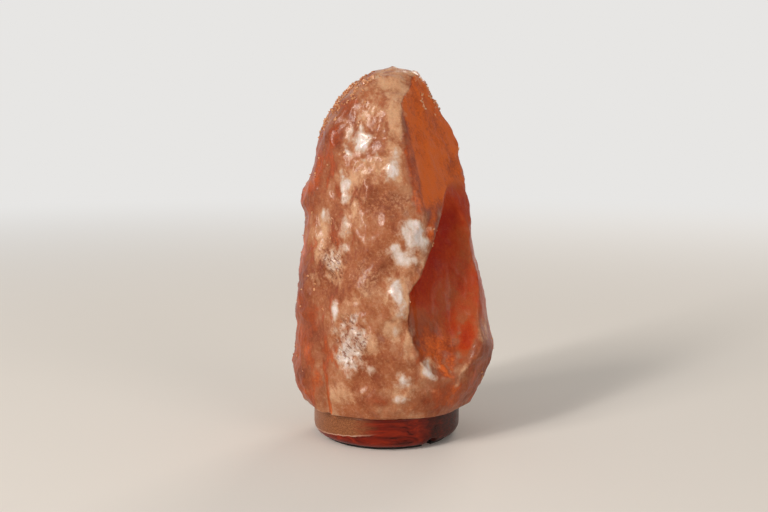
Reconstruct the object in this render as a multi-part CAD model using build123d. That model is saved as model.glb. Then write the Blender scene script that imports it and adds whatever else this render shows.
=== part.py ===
from build123d import *
import os
from collections import namedtuple
from math import cos, pi, radians, sin

# Salt crystal lamp: a hewn block of rock salt screwed to a turned wooden base.
# A spring-claw lamp holder pushes up through the base into a cavity drilled in the salt.
# Millimetres, +Z up, front towards -Y. The origin is on the base's axis, on the face
# that the lamp rests on.

# ---------------------------------------------------------------- running clearances
flat_clearance = 0.1
slide_clearance = 0.3
thread_clearance = 0.05

# How far a cutting form runs past the face that it cuts.
overcut = 1.0

# ---------------------------------------------------------------- wooden base and pad
pad_thickness = 2.0
pad_outer_radius = 50.5
pad_width = 9.0

base_radius = 59.0
base_thickness = 25.0
base_lower_round = 8.0
base_upper_round = 1.8

bore_radius = 22.0
well_radius = 28.5
well_depth = 10.0

channel_width = 9.0
channel_depth = 5.5
channel_round = 3.0
channel_angle = -52.0

# ---------------------------------------------------------------- screws into the salt
screw_count = 3
screw_circle_radius = 35.5
screw_head_radius = 3.9
screw_head_height = 2.4
screw_head_chamfer = 0.8
screw_shank_radius = 1.9
screw_length = 36.0
screw_tip_chamfer = 0.9
screw_drive_depth = 1.3
screw_drive_radius = 1.5
counterbore_depth = 8.0
counterbore_clearance = 0.6
plug_radius = 4.0
plug_length = 24.0
plug_collar_radius = 4.8
plug_collar_height = 1.0

# ---------------------------------------------------------------- salt crystal
# One row per height above the crystal's sawn bottom: how far the hewn outline reaches
# to the left, right, front and back of the base's axis.
Section = namedtuple("Section", "height left right front back")
crystal_sections = [
    Section(0.0, 64.0, 67.0, 64.5, 52.0),
    Section(8.0, 71.0, 72.0, 67.0, 56.0),
    Section(22.0, 74.6, 79.0, 68.5, 60.0),
    Section(36.0, 75.4, 84.0, 69.0, 63.0),
    Section(49.0, 73.6, 87.2, 69.0, 64.0),
    Section(67.0, 72.6, 82.5, 68.5, 65.0),
    Section(95.0, 71.4, 76.8, 67.5, 64.0),
    Section(127.0, 67.0, 68.6, 65.0, 62.0),
    Section(152.0, 64.8, 66.8, 62.0, 59.0),
    Section(161.0, 68.2, 64.8, 60.5, 58.0),
    Section(171.0, 66.2, 62.6, 59.0, 56.5),
    Section(179.0, 60.6, 61.4, 57.5, 55.0),
    Section(210.0, 54.2, 56.0, 50.0, 48.0),
    Section(224.0, 49.0, 48.6, 45.0, 43.0),
    Section(241.0, 38.6, 37.8, 35.0, 34.0),
    Section(254.0, 26.6, 29.6, 24.0, 25.0),
    Section(263.0, 11.4, 24.2, 13.5, 15.0),
]
crystal_height = 267.6
crystal_sides = 36
crystal_squareness = 2.15
crystal_row_spacing = 10.0

# Waves in the hewn surface: their height, the distance between them, the share of them
# that shows in the outline seen from the front, and the directions that they run in.
swell_height = 2.4
swell_length = 31.0
swell_in_outline = 0.3
swell_directions = [(0.80, 0.10, 0.59), (-0.50, 0.70, 0.51), (0.20, -0.60, 0.77)]

# Small cubes of salt along the crest of each shoulder: which side, the heights of the
# first and last above the sawn bottom, and how many.
CrestRow = namedtuple("CrestRow", "side lowest highest count")
crest_rows = [CrestRow(-1, 226.0, 258.0, 11), CrestRow(1, 245.0, 262.0, 6)]
crest_cube_size = 2.8
crest_cube_spread = 0.9
crest_cube_sink = 1.0
crest_stagger = 3.5
crest_turn = 67.0

cavity_radius = 25.0
cavity_depth = 95.0
cavity_top_chamfer = 3.0

# Faces struck off the block: a point on each and its outward direction. The broad ones
# keep the waves, and the clean ones are flat.
HewnFace = namedtuple("HewnFace", "point outward")
broad_faces = [
    HewnFace((-44.0, -46.0, 123.0), (-0.62, -0.77, 0.10)),
    HewnFace((-24.0, -44.0, 225.0), (-0.38, -0.86, 0.34)),
    HewnFace((-47.0, 41.0, 123.0), (-0.66, 0.74, 0.12)),
    HewnFace((50.0, 42.0, 103.0), (0.68, 0.72, 0.14)),
    HewnFace((6.0, 34.0, 253.0), (0.08, 0.76, 0.64)),
]
clean_faces = [
    HewnFace((33.0, -29.0, 227.0), (0.74, -0.60, 0.30)),
    HewnFace((75.0, -26.0, 51.0), (0.76, -0.44, -0.48)),
]

# The ledge: the front slab stands proud along this line, given as (x, z), and breaks
# off into a hollow scooped from the right-hand side below it.
ledge_line = [(47.0, 204.0), (44.3, 195.6), (40.7, 176.8), (34.0, 155.6), (26.6, 139.0), (17.0, 124.0)]
ledge_foot_x = 15.0
scoop_centre = (57.0, -64.5, 132.0)
scoop_half_width = 46.0
scoop_half_depth = 39.0
scoop_half_height = 94.0
scoop_turn = 25.0
scoop_lean_back = 13.0
scoop_rings = 12
scoop_sides = 18

# The groove that parts the left lobe from the front at the crystal's foot.
groove_width = 15.0
groove_foot = (-50.5, -51.5, 22.0)
groove_lean = -8.0
groove_turn = 44.0
groove_length = 52.0

# ---------------------------------------------------------------- holder plate and claws
plate_radius = 27.0
plate_thickness = 0.8
plate_rim_height = 2.4
plate_edge_chamfer = 0.4
claw_sheet = 0.5
claw_count = 3
claw_width = 9.0
claw_hub_radius = 9.5
claw_bow_curve = 16.0
claw_bow_height = 10.0
claw_tip_height = 21.5
claw_first_angle = 90.0

# ---------------------------------------------------------------- nipple, nut, washer, bush
nipple_radius = 5.0
nipple_bore_radius = 4.0
nipple_above_cap_floor = 1.5
nipple_below_nut = 0.4
nut_across_flats = 14.0
nut_height = 2.6
nut_face_margin = 0.2
washer_radius = 8.5
washer_thickness = 0.8
bush_flange_radius = 6.2
bush_flange_height = 1.0
bush_edge_chamfer = 0.5
bush_length = 7.6
bush_bore_radius = 3.2

# ---------------------------------------------------------------- lampholder
holder_radius = 13.5
cap_wall = 1.5
cap_floor = 3.0
cap_height = 17.5
cap_foot_round = 3.0
barrel_height = 32.0
spigot_length = 5.0
spigot_wall = 1.4
block_height = 10.4
barrel_mouth_wall = 1.8
barrel_mouth_chamfer = 0.9
barrel_grip_count = 18
barrel_grip_depth = 0.5
barrel_grip_width = 1.6
barrel_grip_height = 14.0
shell_wall = 0.3
shell_lip_width = 2.7
shell_lip_thickness = 0.4

contact_sheet = 0.4
contact_width = 4.0
contact_leg_x = 3.9
contact_leg_below_block = 6.0
centre_contact_rise = 1.5
centre_contact_overshoot = 2.0
shell_contact_reach = 3.4
rivet_radius = 0.8
rivet_head_radius = 1.15
rivet_head_height = 0.5
rivet_x = 6.0
block_web = 4.4
clamp_length = 4.6
clamp_width = 5.2
clamp_height = 9.0
clamp_wire_radius = 1.2
clamp_wire_depth = 7.0
terminal_screw_radius = 1.2
terminal_head_radius = 1.9
terminal_head_height = 1.6
terminal_slot_width = 0.6
terminal_slot_depth = 0.8
terminal_screw_height = 2.5

# ---------------------------------------------------------------- bulb (small edison screw)
bulb_thread_radius = 6.9
bulb_cap_wall = 0.3
bulb_tip_radius = 2.4
bulb_tip_height = 1.2
bulb_tip_chamfer = 0.6
insulator_foot_radius = 3.2
insulator_height = 3.6
cap_above_insulator_foot = 1.8
bulb_cap_length = 18.0
bulb_skirt_radius = 8.5
bulb_skirt_height = 3.6
bulb_skirt_rise = 2.0
glass_radius = 13.0
glass_wall = 0.7
glass_neck_height = 4.2
glass_shoulder_height = 19.0
glass_steps = 7
stem_flare_height = 1.4
stem_radius = 2.2
stem_height = 13.0
stem_press_height = 3.0
stem_press_thickness = 2.4
lead_radius = 0.3
lead_spacing = 1.3
lead_reach = 7.0
lead_bend_height = 5.0
lead_height = 11.0
lead_round = 2.5
filament_radius = 0.25
filament_rise = 4.0
support_radius = 0.15
support_spread = 2.6
support_foot_x = 0.3
support_foot_y = 0.9
cement_clearance = 0.05

# ---------------------------------------------------------------- levels worked out from the above
base_bottom_z = pad_thickness
crystal_bottom_z = pad_thickness + base_thickness
shoulder_z = base_bottom_z + well_depth
holder_seat_z = shoulder_z + claw_sheet
cap_floor_z = holder_seat_z + cap_floor
barrel_foot_z = holder_seat_z + cap_height
block_bottom_z = barrel_foot_z - spigot_length
block_top_z = block_bottom_z + block_height
barrel_top_z = barrel_foot_z + barrel_height
shell_outer_radius = bulb_thread_radius + slide_clearance + shell_wall
shell_inner_radius = bulb_thread_radius + slide_clearance
cap_inner_radius = holder_radius - cap_wall
spigot_radius = cap_inner_radius - flat_clearance
block_radius = spigot_radius - spigot_wall - flat_clearance
contact_face_z = block_top_z + centre_contact_rise + contact_sheet / 2
bulb_foot_z = contact_face_z + flat_clearance
insulator_foot_z = bulb_foot_z + bulb_tip_height
bulb_cap_foot_z = insulator_foot_z + cap_above_insulator_foot
bulb_cap_top_z = bulb_cap_foot_z + bulb_cap_length
skirt_foot_z = bulb_cap_top_z - bulb_skirt_height
flare_foot_z = skirt_foot_z - bulb_skirt_rise
mouth_floor_z = flare_foot_z - slide_clearance
glass_foot_z = bulb_cap_top_z - bulb_skirt_height + cement_clearance
glass_neck_z = glass_foot_z + bulb_skirt_height + glass_neck_height
glass_equator_z = glass_neck_z + glass_shoulder_height
glass_neck_radius = bulb_skirt_radius - bulb_cap_wall - cement_clearance
stem_top_z = glass_foot_z + stem_height
terminal_clamp_z = block_bottom_z - contact_leg_below_block
washer_top_z = shoulder_z - plate_thickness
nut_top_z = washer_top_z - washer_thickness
nipple_foot_z = nut_top_z - nut_height - nipple_below_nut
screw_seat_z = base_bottom_z + counterbore_depth

round_steps = 5
STAND = (Align.CENTER, Align.CENTER, Align.MIN)


def drum(radius, foot_z, top_z, x=0.0, y=0.0):
    """An upright cylinder between two heights."""
    return Pos(x, y, foot_z) * Cylinder(radius, top_z - foot_z, align=STAND)


def ring(outer_radius, inner_radius, foot_z, top_z):
    """An upright ring between two heights."""
    return drum(outer_radius, foot_z, top_z) - drum(inner_radius, foot_z - overcut, top_z + overcut)


def round_corner(centre_radius, centre_z, size, start_angle):
    """Points of a quarter round on a turned outline, anticlockwise from the start angle."""
    angles = [radians(start_angle + 90 * step / round_steps) for step in range(round_steps + 1)]
    return [(centre_radius + size * cos(angle), centre_z + size * sin(angle)) for angle in angles]


def turned(*outline):
    """Turn a closed (radius, height) outline about the lamp's axis."""
    profile = make_face(Plane.XZ * Polyline(*outline, close=True))
    return revolve(profile, Axis.Z)


def strip(path, sheet, width):
    """A bent strip of sheet metal that follows a line in the XZ plane."""
    section = Plane.XZ * trace(path, line_width=sheet)
    return extrude(section, amount=width / 2, both=True)


def wire(path, radius):
    """A fine wire along a path, six-sided because it is so thin."""
    start = Plane(origin=path @ 0, z_dir=path % 0)
    return sweep(start * RegularPolygon(radius, 6), path=path)


def on_circle(angle, radius):
    """A point on a circle about the lamp's axis."""
    return (radius * cos(radians(angle)), radius * sin(radians(angle)))


def screw_angles():
    """Directions of the base screws, spread over what the cord channel leaves free."""
    step = 360.0 / (screw_count + 1)
    return [channel_angle + step * (index + 1) for index in range(screw_count)]


def screw_places():
    return [on_circle(angle, screw_circle_radius) for angle in screw_angles()]


# ================================================================ salt crystal
def rounded_cosine(angle, squareness):
    """Cosine drawn out towards a square, for a superelliptic outline."""
    value = cos(angle)
    return (1 if value >= 0 else -1) * abs(value) ** (2 / squareness)


def section_at(height):
    """How far the hewn outline reaches at any height, between the given rows."""
    for lower, upper in zip(crystal_sections, crystal_sections[1:]):
        if height <= upper.height:
            share = (height - lower.height) / (upper.height - lower.height)
            return Section(*(low + share * (high - low) for low, high in zip(lower, upper)))
    return crystal_sections[-1]


def ring_heights():
    """The given rows' heights, with more between those that are far apart."""
    heights = [crystal_sections[0].height]
    for lower, upper in zip(crystal_sections, crystal_sections[1:]):
        gap = upper.height - lower.height
        steps = max(1, round(gap / crystal_row_spacing))
        heights += [lower.height + gap * (step + 1) / steps for step in range(steps)]
    return heights


def swell_at(point):
    """How far the hewn surface stands out at a point, from waves that cross each other."""
    waves = [sin(2 * pi * point.dot(Vector(*along)) / swell_length) for along in swell_directions]
    return swell_height * sum(waves) / len(waves)


def struck(point):
    """Bring a point that lies beyond a broad struck face back onto it."""
    for face in broad_faces:
        outward = Vector(*face.outward).normalized()
        beyond = (point - Vector(*face.point)).dot(outward)
        point -= outward * max(beyond, 0)
    return point


def crystal_ring(section, half_steps):
    """The points of one hewn outline, worked out from how far it reaches each way.

    Every other outline is turned by half a step, and the lowest stays flat where it is sawn.
    """
    centre = (section.right - section.left) / 2
    half_width = (section.right + section.left) / 2
    points = []
    for index in range(crystal_sides):
        angle = 2 * pi * (index + half_steps / 2) / crystal_sides
        depth = section.back if sin(angle) >= 0 else section.front
        x = centre + half_width * rounded_cosine(angle, crystal_squareness)
        y = depth * rounded_cosine(angle - pi / 2, crystal_squareness)
        point = Vector(x, y, crystal_bottom_z + section.height)
        if section.height > 0:
            point = struck(point)
        share = swell_in_outline + (1 - swell_in_outline) * abs(sin(angle))
        points.append(point + Vector(cos(angle), sin(angle), 0) * swell_at(point) * share)
    return points


def skin(rings, foot_point, top_point):
    """A solid bounded by flat triangles between rings of points, closed at both ends.

    Each gap of four points is split along its shorter diagonal. An end is a flat face
    where its point is None, and otherwise a fan to that point.
    """
    faces = []
    for lower, upper in zip(rings, rings[1:]):
        for index in range(len(lower)):
            after = (index + 1) % len(lower)
            low, low_after = lower[index], lower[after]
            high, high_after = upper[index], upper[after]
            if (high_after - low).length <= (high - low_after).length:
                faces += [[low, low_after, high_after], [low, high_after, high]]
            else:
                faces += [[low, low_after, high], [low_after, high_after, high]]
    for edge_ring, point in ((rings[0][::-1], foot_point), (rings[-1], top_point)):
        if point is None:
            faces.append(edge_ring)
        else:
            for start, end in zip(edge_ring, edge_ring[1:] + edge_ring[:1]):
                faces.append([start, end, point])
    return Solid(Shell([Face(Wire.make_polygon(corners)) for corners in faces]))


def ledge_scoop():
    """The hollow below the ledge: a shell-shaped break that stops at the ledge line."""
    rings = []
    for level in range(1, scoop_rings):
        polar = pi * level / scoop_rings
        height = -scoop_half_height * cos(polar)
        spread = sin(polar)
        turns = [2 * pi * index / scoop_sides for index in range(scoop_sides)]
        rings.append([Vector(scoop_half_width * spread * cos(turn),
                             scoop_half_depth * spread * sin(turn), height) for turn in turns])
    egg = skin(rings, Vector(0, 0, -scoop_half_height), Vector(0, 0, scoop_half_height))
    egg = Pos(*scoop_centre) * Rot(-scoop_lean_back, 0, 0) * Rot(0, 0, scoop_turn) * egg
    top_z = ledge_line[0][1]
    foot_z = scoop_centre[2] - 2 * scoop_half_height
    reach = crystal_height
    outline = ledge_line + [(ledge_foot_x, foot_z), (reach, foot_z), (reach, top_z)]
    right_of_ledge = extrude(make_face(Plane.XZ * Polyline(*outline, close=True)), amount=reach)
    return egg & right_of_ledge


def crest_cubes():
    """Small cubes of salt that stand out along both shoulders, each turned its own way."""
    cubes = []
    for side, lowest, highest, count in crest_rows:
        for index in range(count):
            height = lowest + (highest - lowest) * index / (count - 1)
            section = section_at(height)
            reach = section.right if side > 0 else section.left
            size = crest_cube_size + crest_cube_spread * sin(crest_turn * index)
            place = Pos(side * (reach - crest_cube_sink), crest_stagger * cos(crest_turn * index),
                        crystal_bottom_z + height)
            cubes.append(place * Rot(crest_turn * index, crest_turn / 2, 0) * Box(size, size, size))
    return cubes


def make_salt_crystal():
    rings = [crystal_ring(section_at(height), row % 2) for row, height in enumerate(ring_heights())]
    last = crystal_sections[-1]
    apex = Vector((last.right - last.left) / 2, 0, crystal_bottom_z + crystal_height)
    block = skin(rings, None, apex)
    for face in clean_faces:
        beyond = Plane(origin=face.point, z_dir=face.outward)
        block -= beyond * Box(2 * crystal_height, 2 * crystal_height, crystal_height, align=STAND)
    block -= ledge_scoop()
    block += crest_cubes()
    chisel = Rot(0, 0, groove_turn) * Rot(0, groove_lean, 0) * Rot(0, 0, 45)
    block -= Pos(*groove_foot) * chisel * Box(groove_width, groove_width, groove_length, align=STAND)
    cavity = drum(cavity_radius, crystal_bottom_z - overcut, crystal_bottom_z + cavity_depth)
    block -= chamfer(cavity.edges().group_by(Axis.Z)[-1], cavity_top_chamfer)
    for x, y in screw_places():
        block -= drum(plug_radius + flat_clearance, crystal_bottom_z - overcut,
                      crystal_bottom_z + screw_length, x, y)
        block -= drum(plug_collar_radius + flat_clearance, crystal_bottom_z - overcut,
                      crystal_bottom_z + plug_collar_height, x, y)
    return block


# ================================================================ base
def cord_channel(foot_z, length):
    """The rounded groove from the well out through the rim, open downwards."""
    height = base_bottom_z + channel_depth - foot_z
    groove = Pos(length / 2, 0, foot_z) * Box(length, channel_width, height, align=STAND)
    crown = groove.edges().filter_by(Axis.X).group_by(Axis.Z)[-1]
    return Rot(0, 0, channel_angle) * fillet(crown, channel_round)


def make_wooden_base():
    disc = turned(
        (bore_radius, shoulder_z),
        (well_radius, shoulder_z),
        (well_radius, base_bottom_z),
        *round_corner(base_radius - base_lower_round, base_bottom_z + base_lower_round,
                      base_lower_round, -90),
        *round_corner(base_radius - base_upper_round, crystal_bottom_z - base_upper_round,
                      base_upper_round, 0),
        (bore_radius, crystal_bottom_z),
    )
    disc -= cord_channel(base_bottom_z - overcut, base_radius + overcut)
    for x, y in screw_places():
        head_radius = screw_head_radius + counterbore_clearance
        disc -= drum(head_radius, base_bottom_z - overcut, screw_seat_z, x, y)
        shank_radius = screw_shank_radius + slide_clearance
        disc -= drum(shank_radius, base_bottom_z, crystal_bottom_z + overcut, x, y)
    return disc


def make_base_pad():
    pad = ring(pad_outer_radius, pad_outer_radius - pad_width, 0, pad_thickness)
    return pad - cord_channel(-overcut, base_radius + overcut)


def make_base_screws():
    screws = []
    for x, y in screw_places():
        head = drum(screw_head_radius, screw_seat_z - screw_head_height, screw_seat_z, x, y)
        head = chamfer(head.edges().group_by(Axis.Z)[0], screw_head_chamfer)
        head_foot_z = screw_seat_z - screw_head_height
        head -= drum(screw_drive_radius, head_foot_z - overcut, head_foot_z + screw_drive_depth, x, y)
        shank = drum(screw_shank_radius, screw_seat_z, screw_seat_z + screw_length, x, y)
        screws.append(head + chamfer(shank.edges().group_by(Axis.Z)[-1], screw_tip_chamfer))
    return screws


def make_screw_plugs():
    plugs = []
    for x, y in screw_places():
        plug = drum(plug_radius, crystal_bottom_z, crystal_bottom_z + plug_length, x, y)
        plug += drum(plug_collar_radius, crystal_bottom_z, crystal_bottom_z + plug_collar_height, x, y)
        bore_radius_in_plug = screw_shank_radius + flat_clearance
        plug -= drum(bore_radius_in_plug, base_bottom_z, crystal_bottom_z + plug_length + overcut, x, y)
        plugs.append(plug)
    return plugs


# ================================================================ holder plate and claws
def make_holder_plate():
    """A pressed steel disc with a turned-down rim, which stops against the base's shoulder."""
    plate = drum(plate_radius, shoulder_z - plate_thickness, shoulder_z)
    plate += ring(plate_radius, plate_radius - plate_thickness, shoulder_z - plate_rim_height, shoulder_z)
    plate = chamfer(plate.edges().group_by(Axis.Z)[-1], plate_edge_chamfer)
    return plate - drum(nipple_radius + flat_clearance, 0, shoulder_z + overcut)


def make_spring_claws():
    """A spring-steel star: each leg runs out over the plate, turns up and bows to the bore."""
    middle_z = shoulder_z + claw_sheet / 2
    reach = ((bore_radius - slide_clearance) ** 2 - (claw_width / 2) ** 2) ** 0.5
    bow_radius = reach - claw_sheet / 2
    curve_centre = bow_radius - claw_bow_curve
    foot_radius = curve_centre + (claw_bow_curve ** 2 - claw_bow_height ** 2) ** 0.5
    tip_above_bow = claw_tip_height - claw_bow_height
    tip_radius = curve_centre + (claw_bow_curve ** 2 - tip_above_bow ** 2) ** 0.5
    bow = ThreePointArc(
        (foot_radius, middle_z),
        (bow_radius, middle_z + claw_bow_height),
        (tip_radius, middle_z + claw_tip_height),
    )
    leg = strip(Line((nipple_radius, middle_z), (foot_radius, middle_z)), claw_sheet, claw_width)
    leg += strip(bow, claw_sheet, claw_width)
    claws = drum(claw_hub_radius, shoulder_z, shoulder_z + claw_sheet)
    for index in range(claw_count):
        claws += Rot(0, 0, claw_first_angle + index * 360 / claw_count) * leg
    return claws - drum(nipple_radius + flat_clearance, 0, shoulder_z + claw_tip_height)


def make_holder_nipple():
    return ring(nipple_radius, nipple_bore_radius, nipple_foot_z, cap_floor_z + nipple_above_cap_floor)


def make_nipple_nut():
    hexagon = RegularPolygon(nut_across_flats / 2, 6, major_radius=False)
    nut = extrude(Pos(0, 0, nut_top_z - nut_height) * hexagon, amount=nut_height)
    face_radius = nut_across_flats / 2 + nut_face_margin
    rounding = Pos(0, 0, nut_top_z - nut_height) * Cone(
        face_radius, face_radius + nut_height, nut_height, align=STAND)
    return (nut & rounding) - drum(nipple_radius + thread_clearance, 0, shoulder_z)


def make_lock_washer():
    return ring(washer_radius, nipple_radius + thread_clearance, nut_top_z, washer_top_z)


def make_cord_bush():
    """The smooth inlet that the cord enters by, pushed up into the nipple."""
    flange_z = nipple_foot_z - bush_flange_height
    flange = drum(bush_flange_radius, flange_z, nipple_foot_z)
    flange = chamfer(flange.edges().group_by(Axis.Z)[0], bush_edge_chamfer)
    sleeve = drum(nipple_bore_radius - thread_clearance, nipple_foot_z, flange_z + bush_length)
    return flange + sleeve - drum(bush_bore_radius, 0, barrel_foot_z)


# ================================================================ lampholder
def make_socket_cap():
    """The lower cup of the lampholder, screwed down on the nipple."""
    thread_radius = nipple_radius + thread_clearance
    return turned(
        (thread_radius, holder_seat_z),
        *round_corner(holder_radius - cap_foot_round, holder_seat_z + cap_foot_round,
                      cap_foot_round, -90),
        (holder_radius, barrel_foot_z),
        (cap_inner_radius, barrel_foot_z),
        (cap_inner_radius, cap_floor_z),
        (thread_radius, cap_floor_z),
    )


def make_socket_barrel():
    """The upper barrel: a spigot in the cap below, and a mouth round the bulb's skirt above."""
    barrel = drum(holder_radius, barrel_foot_z, barrel_top_z)
    barrel = chamfer(barrel.edges().group_by(Axis.Z)[-1], barrel_mouth_chamfer)
    barrel += drum(spigot_radius, block_bottom_z, barrel_foot_z)
    barrel -= drum(block_radius + flat_clearance, block_bottom_z - overcut, block_top_z)
    barrel -= drum(shell_outer_radius + slide_clearance, block_bottom_z, barrel_top_z + overcut)
    barrel -= drum(holder_radius - barrel_mouth_wall, mouth_floor_z, barrel_top_z + overcut)
    grip_z = barrel_foot_z + barrel_grip_width
    notch = Pos(holder_radius, 0, grip_z) * Box(
        2 * barrel_grip_depth, barrel_grip_width, barrel_grip_height, align=STAND)
    for index in range(barrel_grip_count):
        barrel -= Rot(0, 0, index * 360 / barrel_grip_count) * notch
    return barrel


def make_contact_block():
    """The insulating block that carries the contacts and their terminals."""
    block = drum(block_radius, block_bottom_z, block_top_z)
    pocket_foot = contact_leg_x - contact_sheet / 2 - flat_clearance
    pocket_length = contact_sheet + clamp_length + 2 * flat_clearance
    pocket_width = clamp_width + 2 * flat_clearance
    pocket_height = block_height - block_web
    slot_length = contact_sheet + 2 * flat_clearance
    slot_width = contact_width + 2 * flat_clearance
    for side in (1, -1):
        pocket_x = side * (pocket_foot + pocket_length / 2)
        block -= Pos(pocket_x, 0, block_bottom_z) * Box(
            pocket_length, pocket_width, pocket_height, align=STAND)
        block -= Pos(side * contact_leg_x, 0, block_bottom_z) * Box(
            slot_length, slot_width, block_height + overcut, align=STAND)
        block -= drum(rivet_radius + thread_clearance, block_bottom_z, block_top_z + overcut,
                      side * rivet_x)
    foot_length = shell_contact_reach + contact_sheet + flat_clearance
    foot_x = -contact_leg_x + contact_sheet / 2 - foot_length / 2
    block -= Pos(foot_x, 0, block_top_z - contact_sheet) * Box(
        foot_length, slot_width, contact_sheet + overcut, align=STAND)
    return block


def make_screw_shell():
    """The thin brass sleeve that the bulb screws into, with a lip riveted to the block."""
    sleeve = ring(shell_outer_radius, shell_inner_radius, block_top_z, mouth_floor_z)
    lip_top_z = block_top_z + shell_lip_thickness
    lip = ring(shell_outer_radius, shell_outer_radius - shell_lip_width, block_top_z, lip_top_z)
    shell = sleeve + lip
    for side in (1, -1):
        shell -= drum(rivet_radius + thread_clearance, block_bottom_z, lip_top_z + overcut,
                      side * rivet_x)
    return shell


def make_centre_contact():
    """The springy tongue that meets the bulb's tip, on a leg down to its terminal."""
    path = FilletPolyline(
        (contact_leg_x, terminal_clamp_z),
        (contact_leg_x, block_top_z + contact_sheet),
        (-centre_contact_overshoot, block_top_z + centre_contact_rise),
        radius=contact_sheet,
    )
    return strip(path, contact_sheet, contact_width)


def make_shell_contact():
    """The strip under the screw shell's lip, on a leg down to its terminal."""
    middle_z = block_top_z - contact_sheet / 2
    path = FilletPolyline(
        (-contact_leg_x, terminal_clamp_z),
        (-contact_leg_x, middle_z),
        (-contact_leg_x - shell_contact_reach, middle_z),
        radius=contact_sheet,
    )
    foot = strip(path, contact_sheet, contact_width)
    return foot - drum(rivet_radius + thread_clearance, block_bottom_z, mouth_floor_z, -rivet_x)


def make_contact_rivets():
    rivets = []
    web_foot_z = block_top_z - block_web
    lip_top_z = block_top_z + shell_lip_thickness
    for side in (1, -1):
        shank = drum(rivet_radius, web_foot_z, lip_top_z, side * rivet_x)
        head = drum(rivet_head_radius, lip_top_z, lip_top_z + rivet_head_height, side * rivet_x)
        tail = drum(rivet_head_radius, web_foot_z - rivet_head_height, web_foot_z, side * rivet_x)
        rivets.append(shank + head + tail)
    return rivets


def terminal_screw_z():
    return terminal_clamp_z + terminal_screw_height


def make_terminal_clamps():
    """Brass pillar terminals: a wire hole up from below and a clamping screw from the side."""
    clamps = []
    inner_x = contact_leg_x + contact_sheet / 2
    for side in (1, -1):
        middle_x = side * (inner_x + clamp_length / 2)
        clamp = Pos(middle_x, 0, terminal_clamp_z) * Box(
            clamp_length, clamp_width, clamp_height, align=STAND)
        clamp -= drum(clamp_wire_radius, terminal_clamp_z - overcut,
                      terminal_clamp_z + clamp_wire_depth, middle_x)
        bore = Pos(middle_x, 0, terminal_screw_z()) * Rot(0, side * 90, 0) * Cylinder(
            terminal_screw_radius + thread_clearance, clamp_length, align=STAND)
        clamps.append(clamp - bore)
    return clamps


def make_terminal_screws():
    screws = []
    face_x = contact_leg_x + contact_sheet / 2 + clamp_length
    shank_length = clamp_length / 2 - clamp_wire_radius / 2
    for side in (1, -1):
        outward = Pos(side * face_x, 0, terminal_screw_z()) * Rot(0, side * 90, 0)
        head = Cylinder(terminal_head_radius, terminal_head_height, align=STAND)
        head -= Pos(0, 0, terminal_head_height - terminal_slot_depth) * Box(
            2 * terminal_head_radius + overcut, terminal_slot_width, terminal_head_height, align=STAND)
        shank = Pos(0, 0, -shank_length) * Cylinder(terminal_screw_radius, shank_length, align=STAND)
        screws.append(outward * (head + shank))
    return screws


# ================================================================ bulb
def make_cap_contact():
    """The rounded solder tip under the bulb's cap."""
    tip = drum(bulb_tip_radius, bulb_foot_z, insulator_foot_z)
    return chamfer(tip.edges().group_by(Axis.Z)[0], bulb_tip_chamfer)


def make_cap_insulator():
    """The black glass cone between the tip and the cap."""
    top_radius = bulb_thread_radius - bulb_cap_wall - cement_clearance
    return Pos(0, 0, insulator_foot_z) * Cone(
        insulator_foot_radius, top_radius, insulator_height, align=STAND)


def make_bulb_cap():
    """The plain sleeve of the screw cap, flared into a skirt round the glass."""
    inner_radius = bulb_thread_radius - bulb_cap_wall
    skirt_inner_radius = bulb_skirt_radius - bulb_cap_wall
    return turned(
        (inner_radius, bulb_cap_foot_z),
        (bulb_thread_radius, bulb_cap_foot_z),
        (bulb_thread_radius, flare_foot_z),
        (bulb_skirt_radius, skirt_foot_z),
        (bulb_skirt_radius, bulb_cap_top_z),
        (skirt_inner_radius, bulb_cap_top_z),
        (skirt_inner_radius, skirt_foot_z),
        (inner_radius, flare_foot_z),
    )


def glass_form(inset, foot_z):
    """The bulb's form, drawn in by a wall's thickness for its inside."""
    neck_radius = glass_neck_radius - inset
    radius = glass_radius - inset
    outline = [(0, foot_z), (neck_radius, foot_z)]
    for step in range(glass_steps + 1):
        share = step / glass_steps
        swell = (1 - cos(pi * share)) / 2
        outline.append((neck_radius + (radius - neck_radius) * swell,
                        glass_neck_z + glass_shoulder_height * share))
    for step in range(1, glass_steps):
        turn = pi / 2 * step / glass_steps
        outline.append((radius * cos(turn), glass_equator_z + radius * sin(turn)))
    outline.append((0, glass_equator_z + radius))
    return turned(*outline)


def make_bulb_glass():
    return glass_form(0, glass_foot_z) - glass_form(glass_wall, glass_foot_z - overcut)


def make_glass_mount():
    """The stem sealed into the neck: a flare, a rod and the flat press that grips the leads."""
    flare_radius = glass_neck_radius - glass_wall - cement_clearance
    flare_top_z = glass_foot_z + stem_flare_height
    stem = turned(
        (0, glass_foot_z),
        (flare_radius, glass_foot_z),
        (flare_radius, flare_top_z),
        (stem_radius, flare_top_z + flare_radius - stem_radius),
        (stem_radius, stem_top_z - stem_press_height),
        (0, stem_top_z - stem_press_height),
    )
    press_width = 2 * stem_radius + 2 * lead_radius
    return stem + Pos(0, 0, stem_top_z - stem_press_height) * Box(
        press_width, stem_press_thickness, stem_press_height, align=STAND)


def make_lead_wires():
    leads = []
    for side in (1, -1):
        path = Plane.XZ * FilletPolyline(
            (side * lead_spacing, stem_top_z),
            (side * lead_spacing, stem_top_z + lead_bend_height),
            (side * lead_reach, stem_top_z + lead_height),
            radius=lead_round,
        )
        leads.append(wire(path, lead_radius))
    return leads


def filament_end_z():
    return stem_top_z + lead_height + lead_radius + filament_radius


def make_filament():
    """The filament as one slim arch between the tips of the leads."""
    path = Plane.XZ * ThreePointArc(
        (-lead_reach, filament_end_z()),
        (0, filament_end_z() + filament_rise),
        (lead_reach, filament_end_z()),
    )
    return wire(path, filament_radius)


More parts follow.
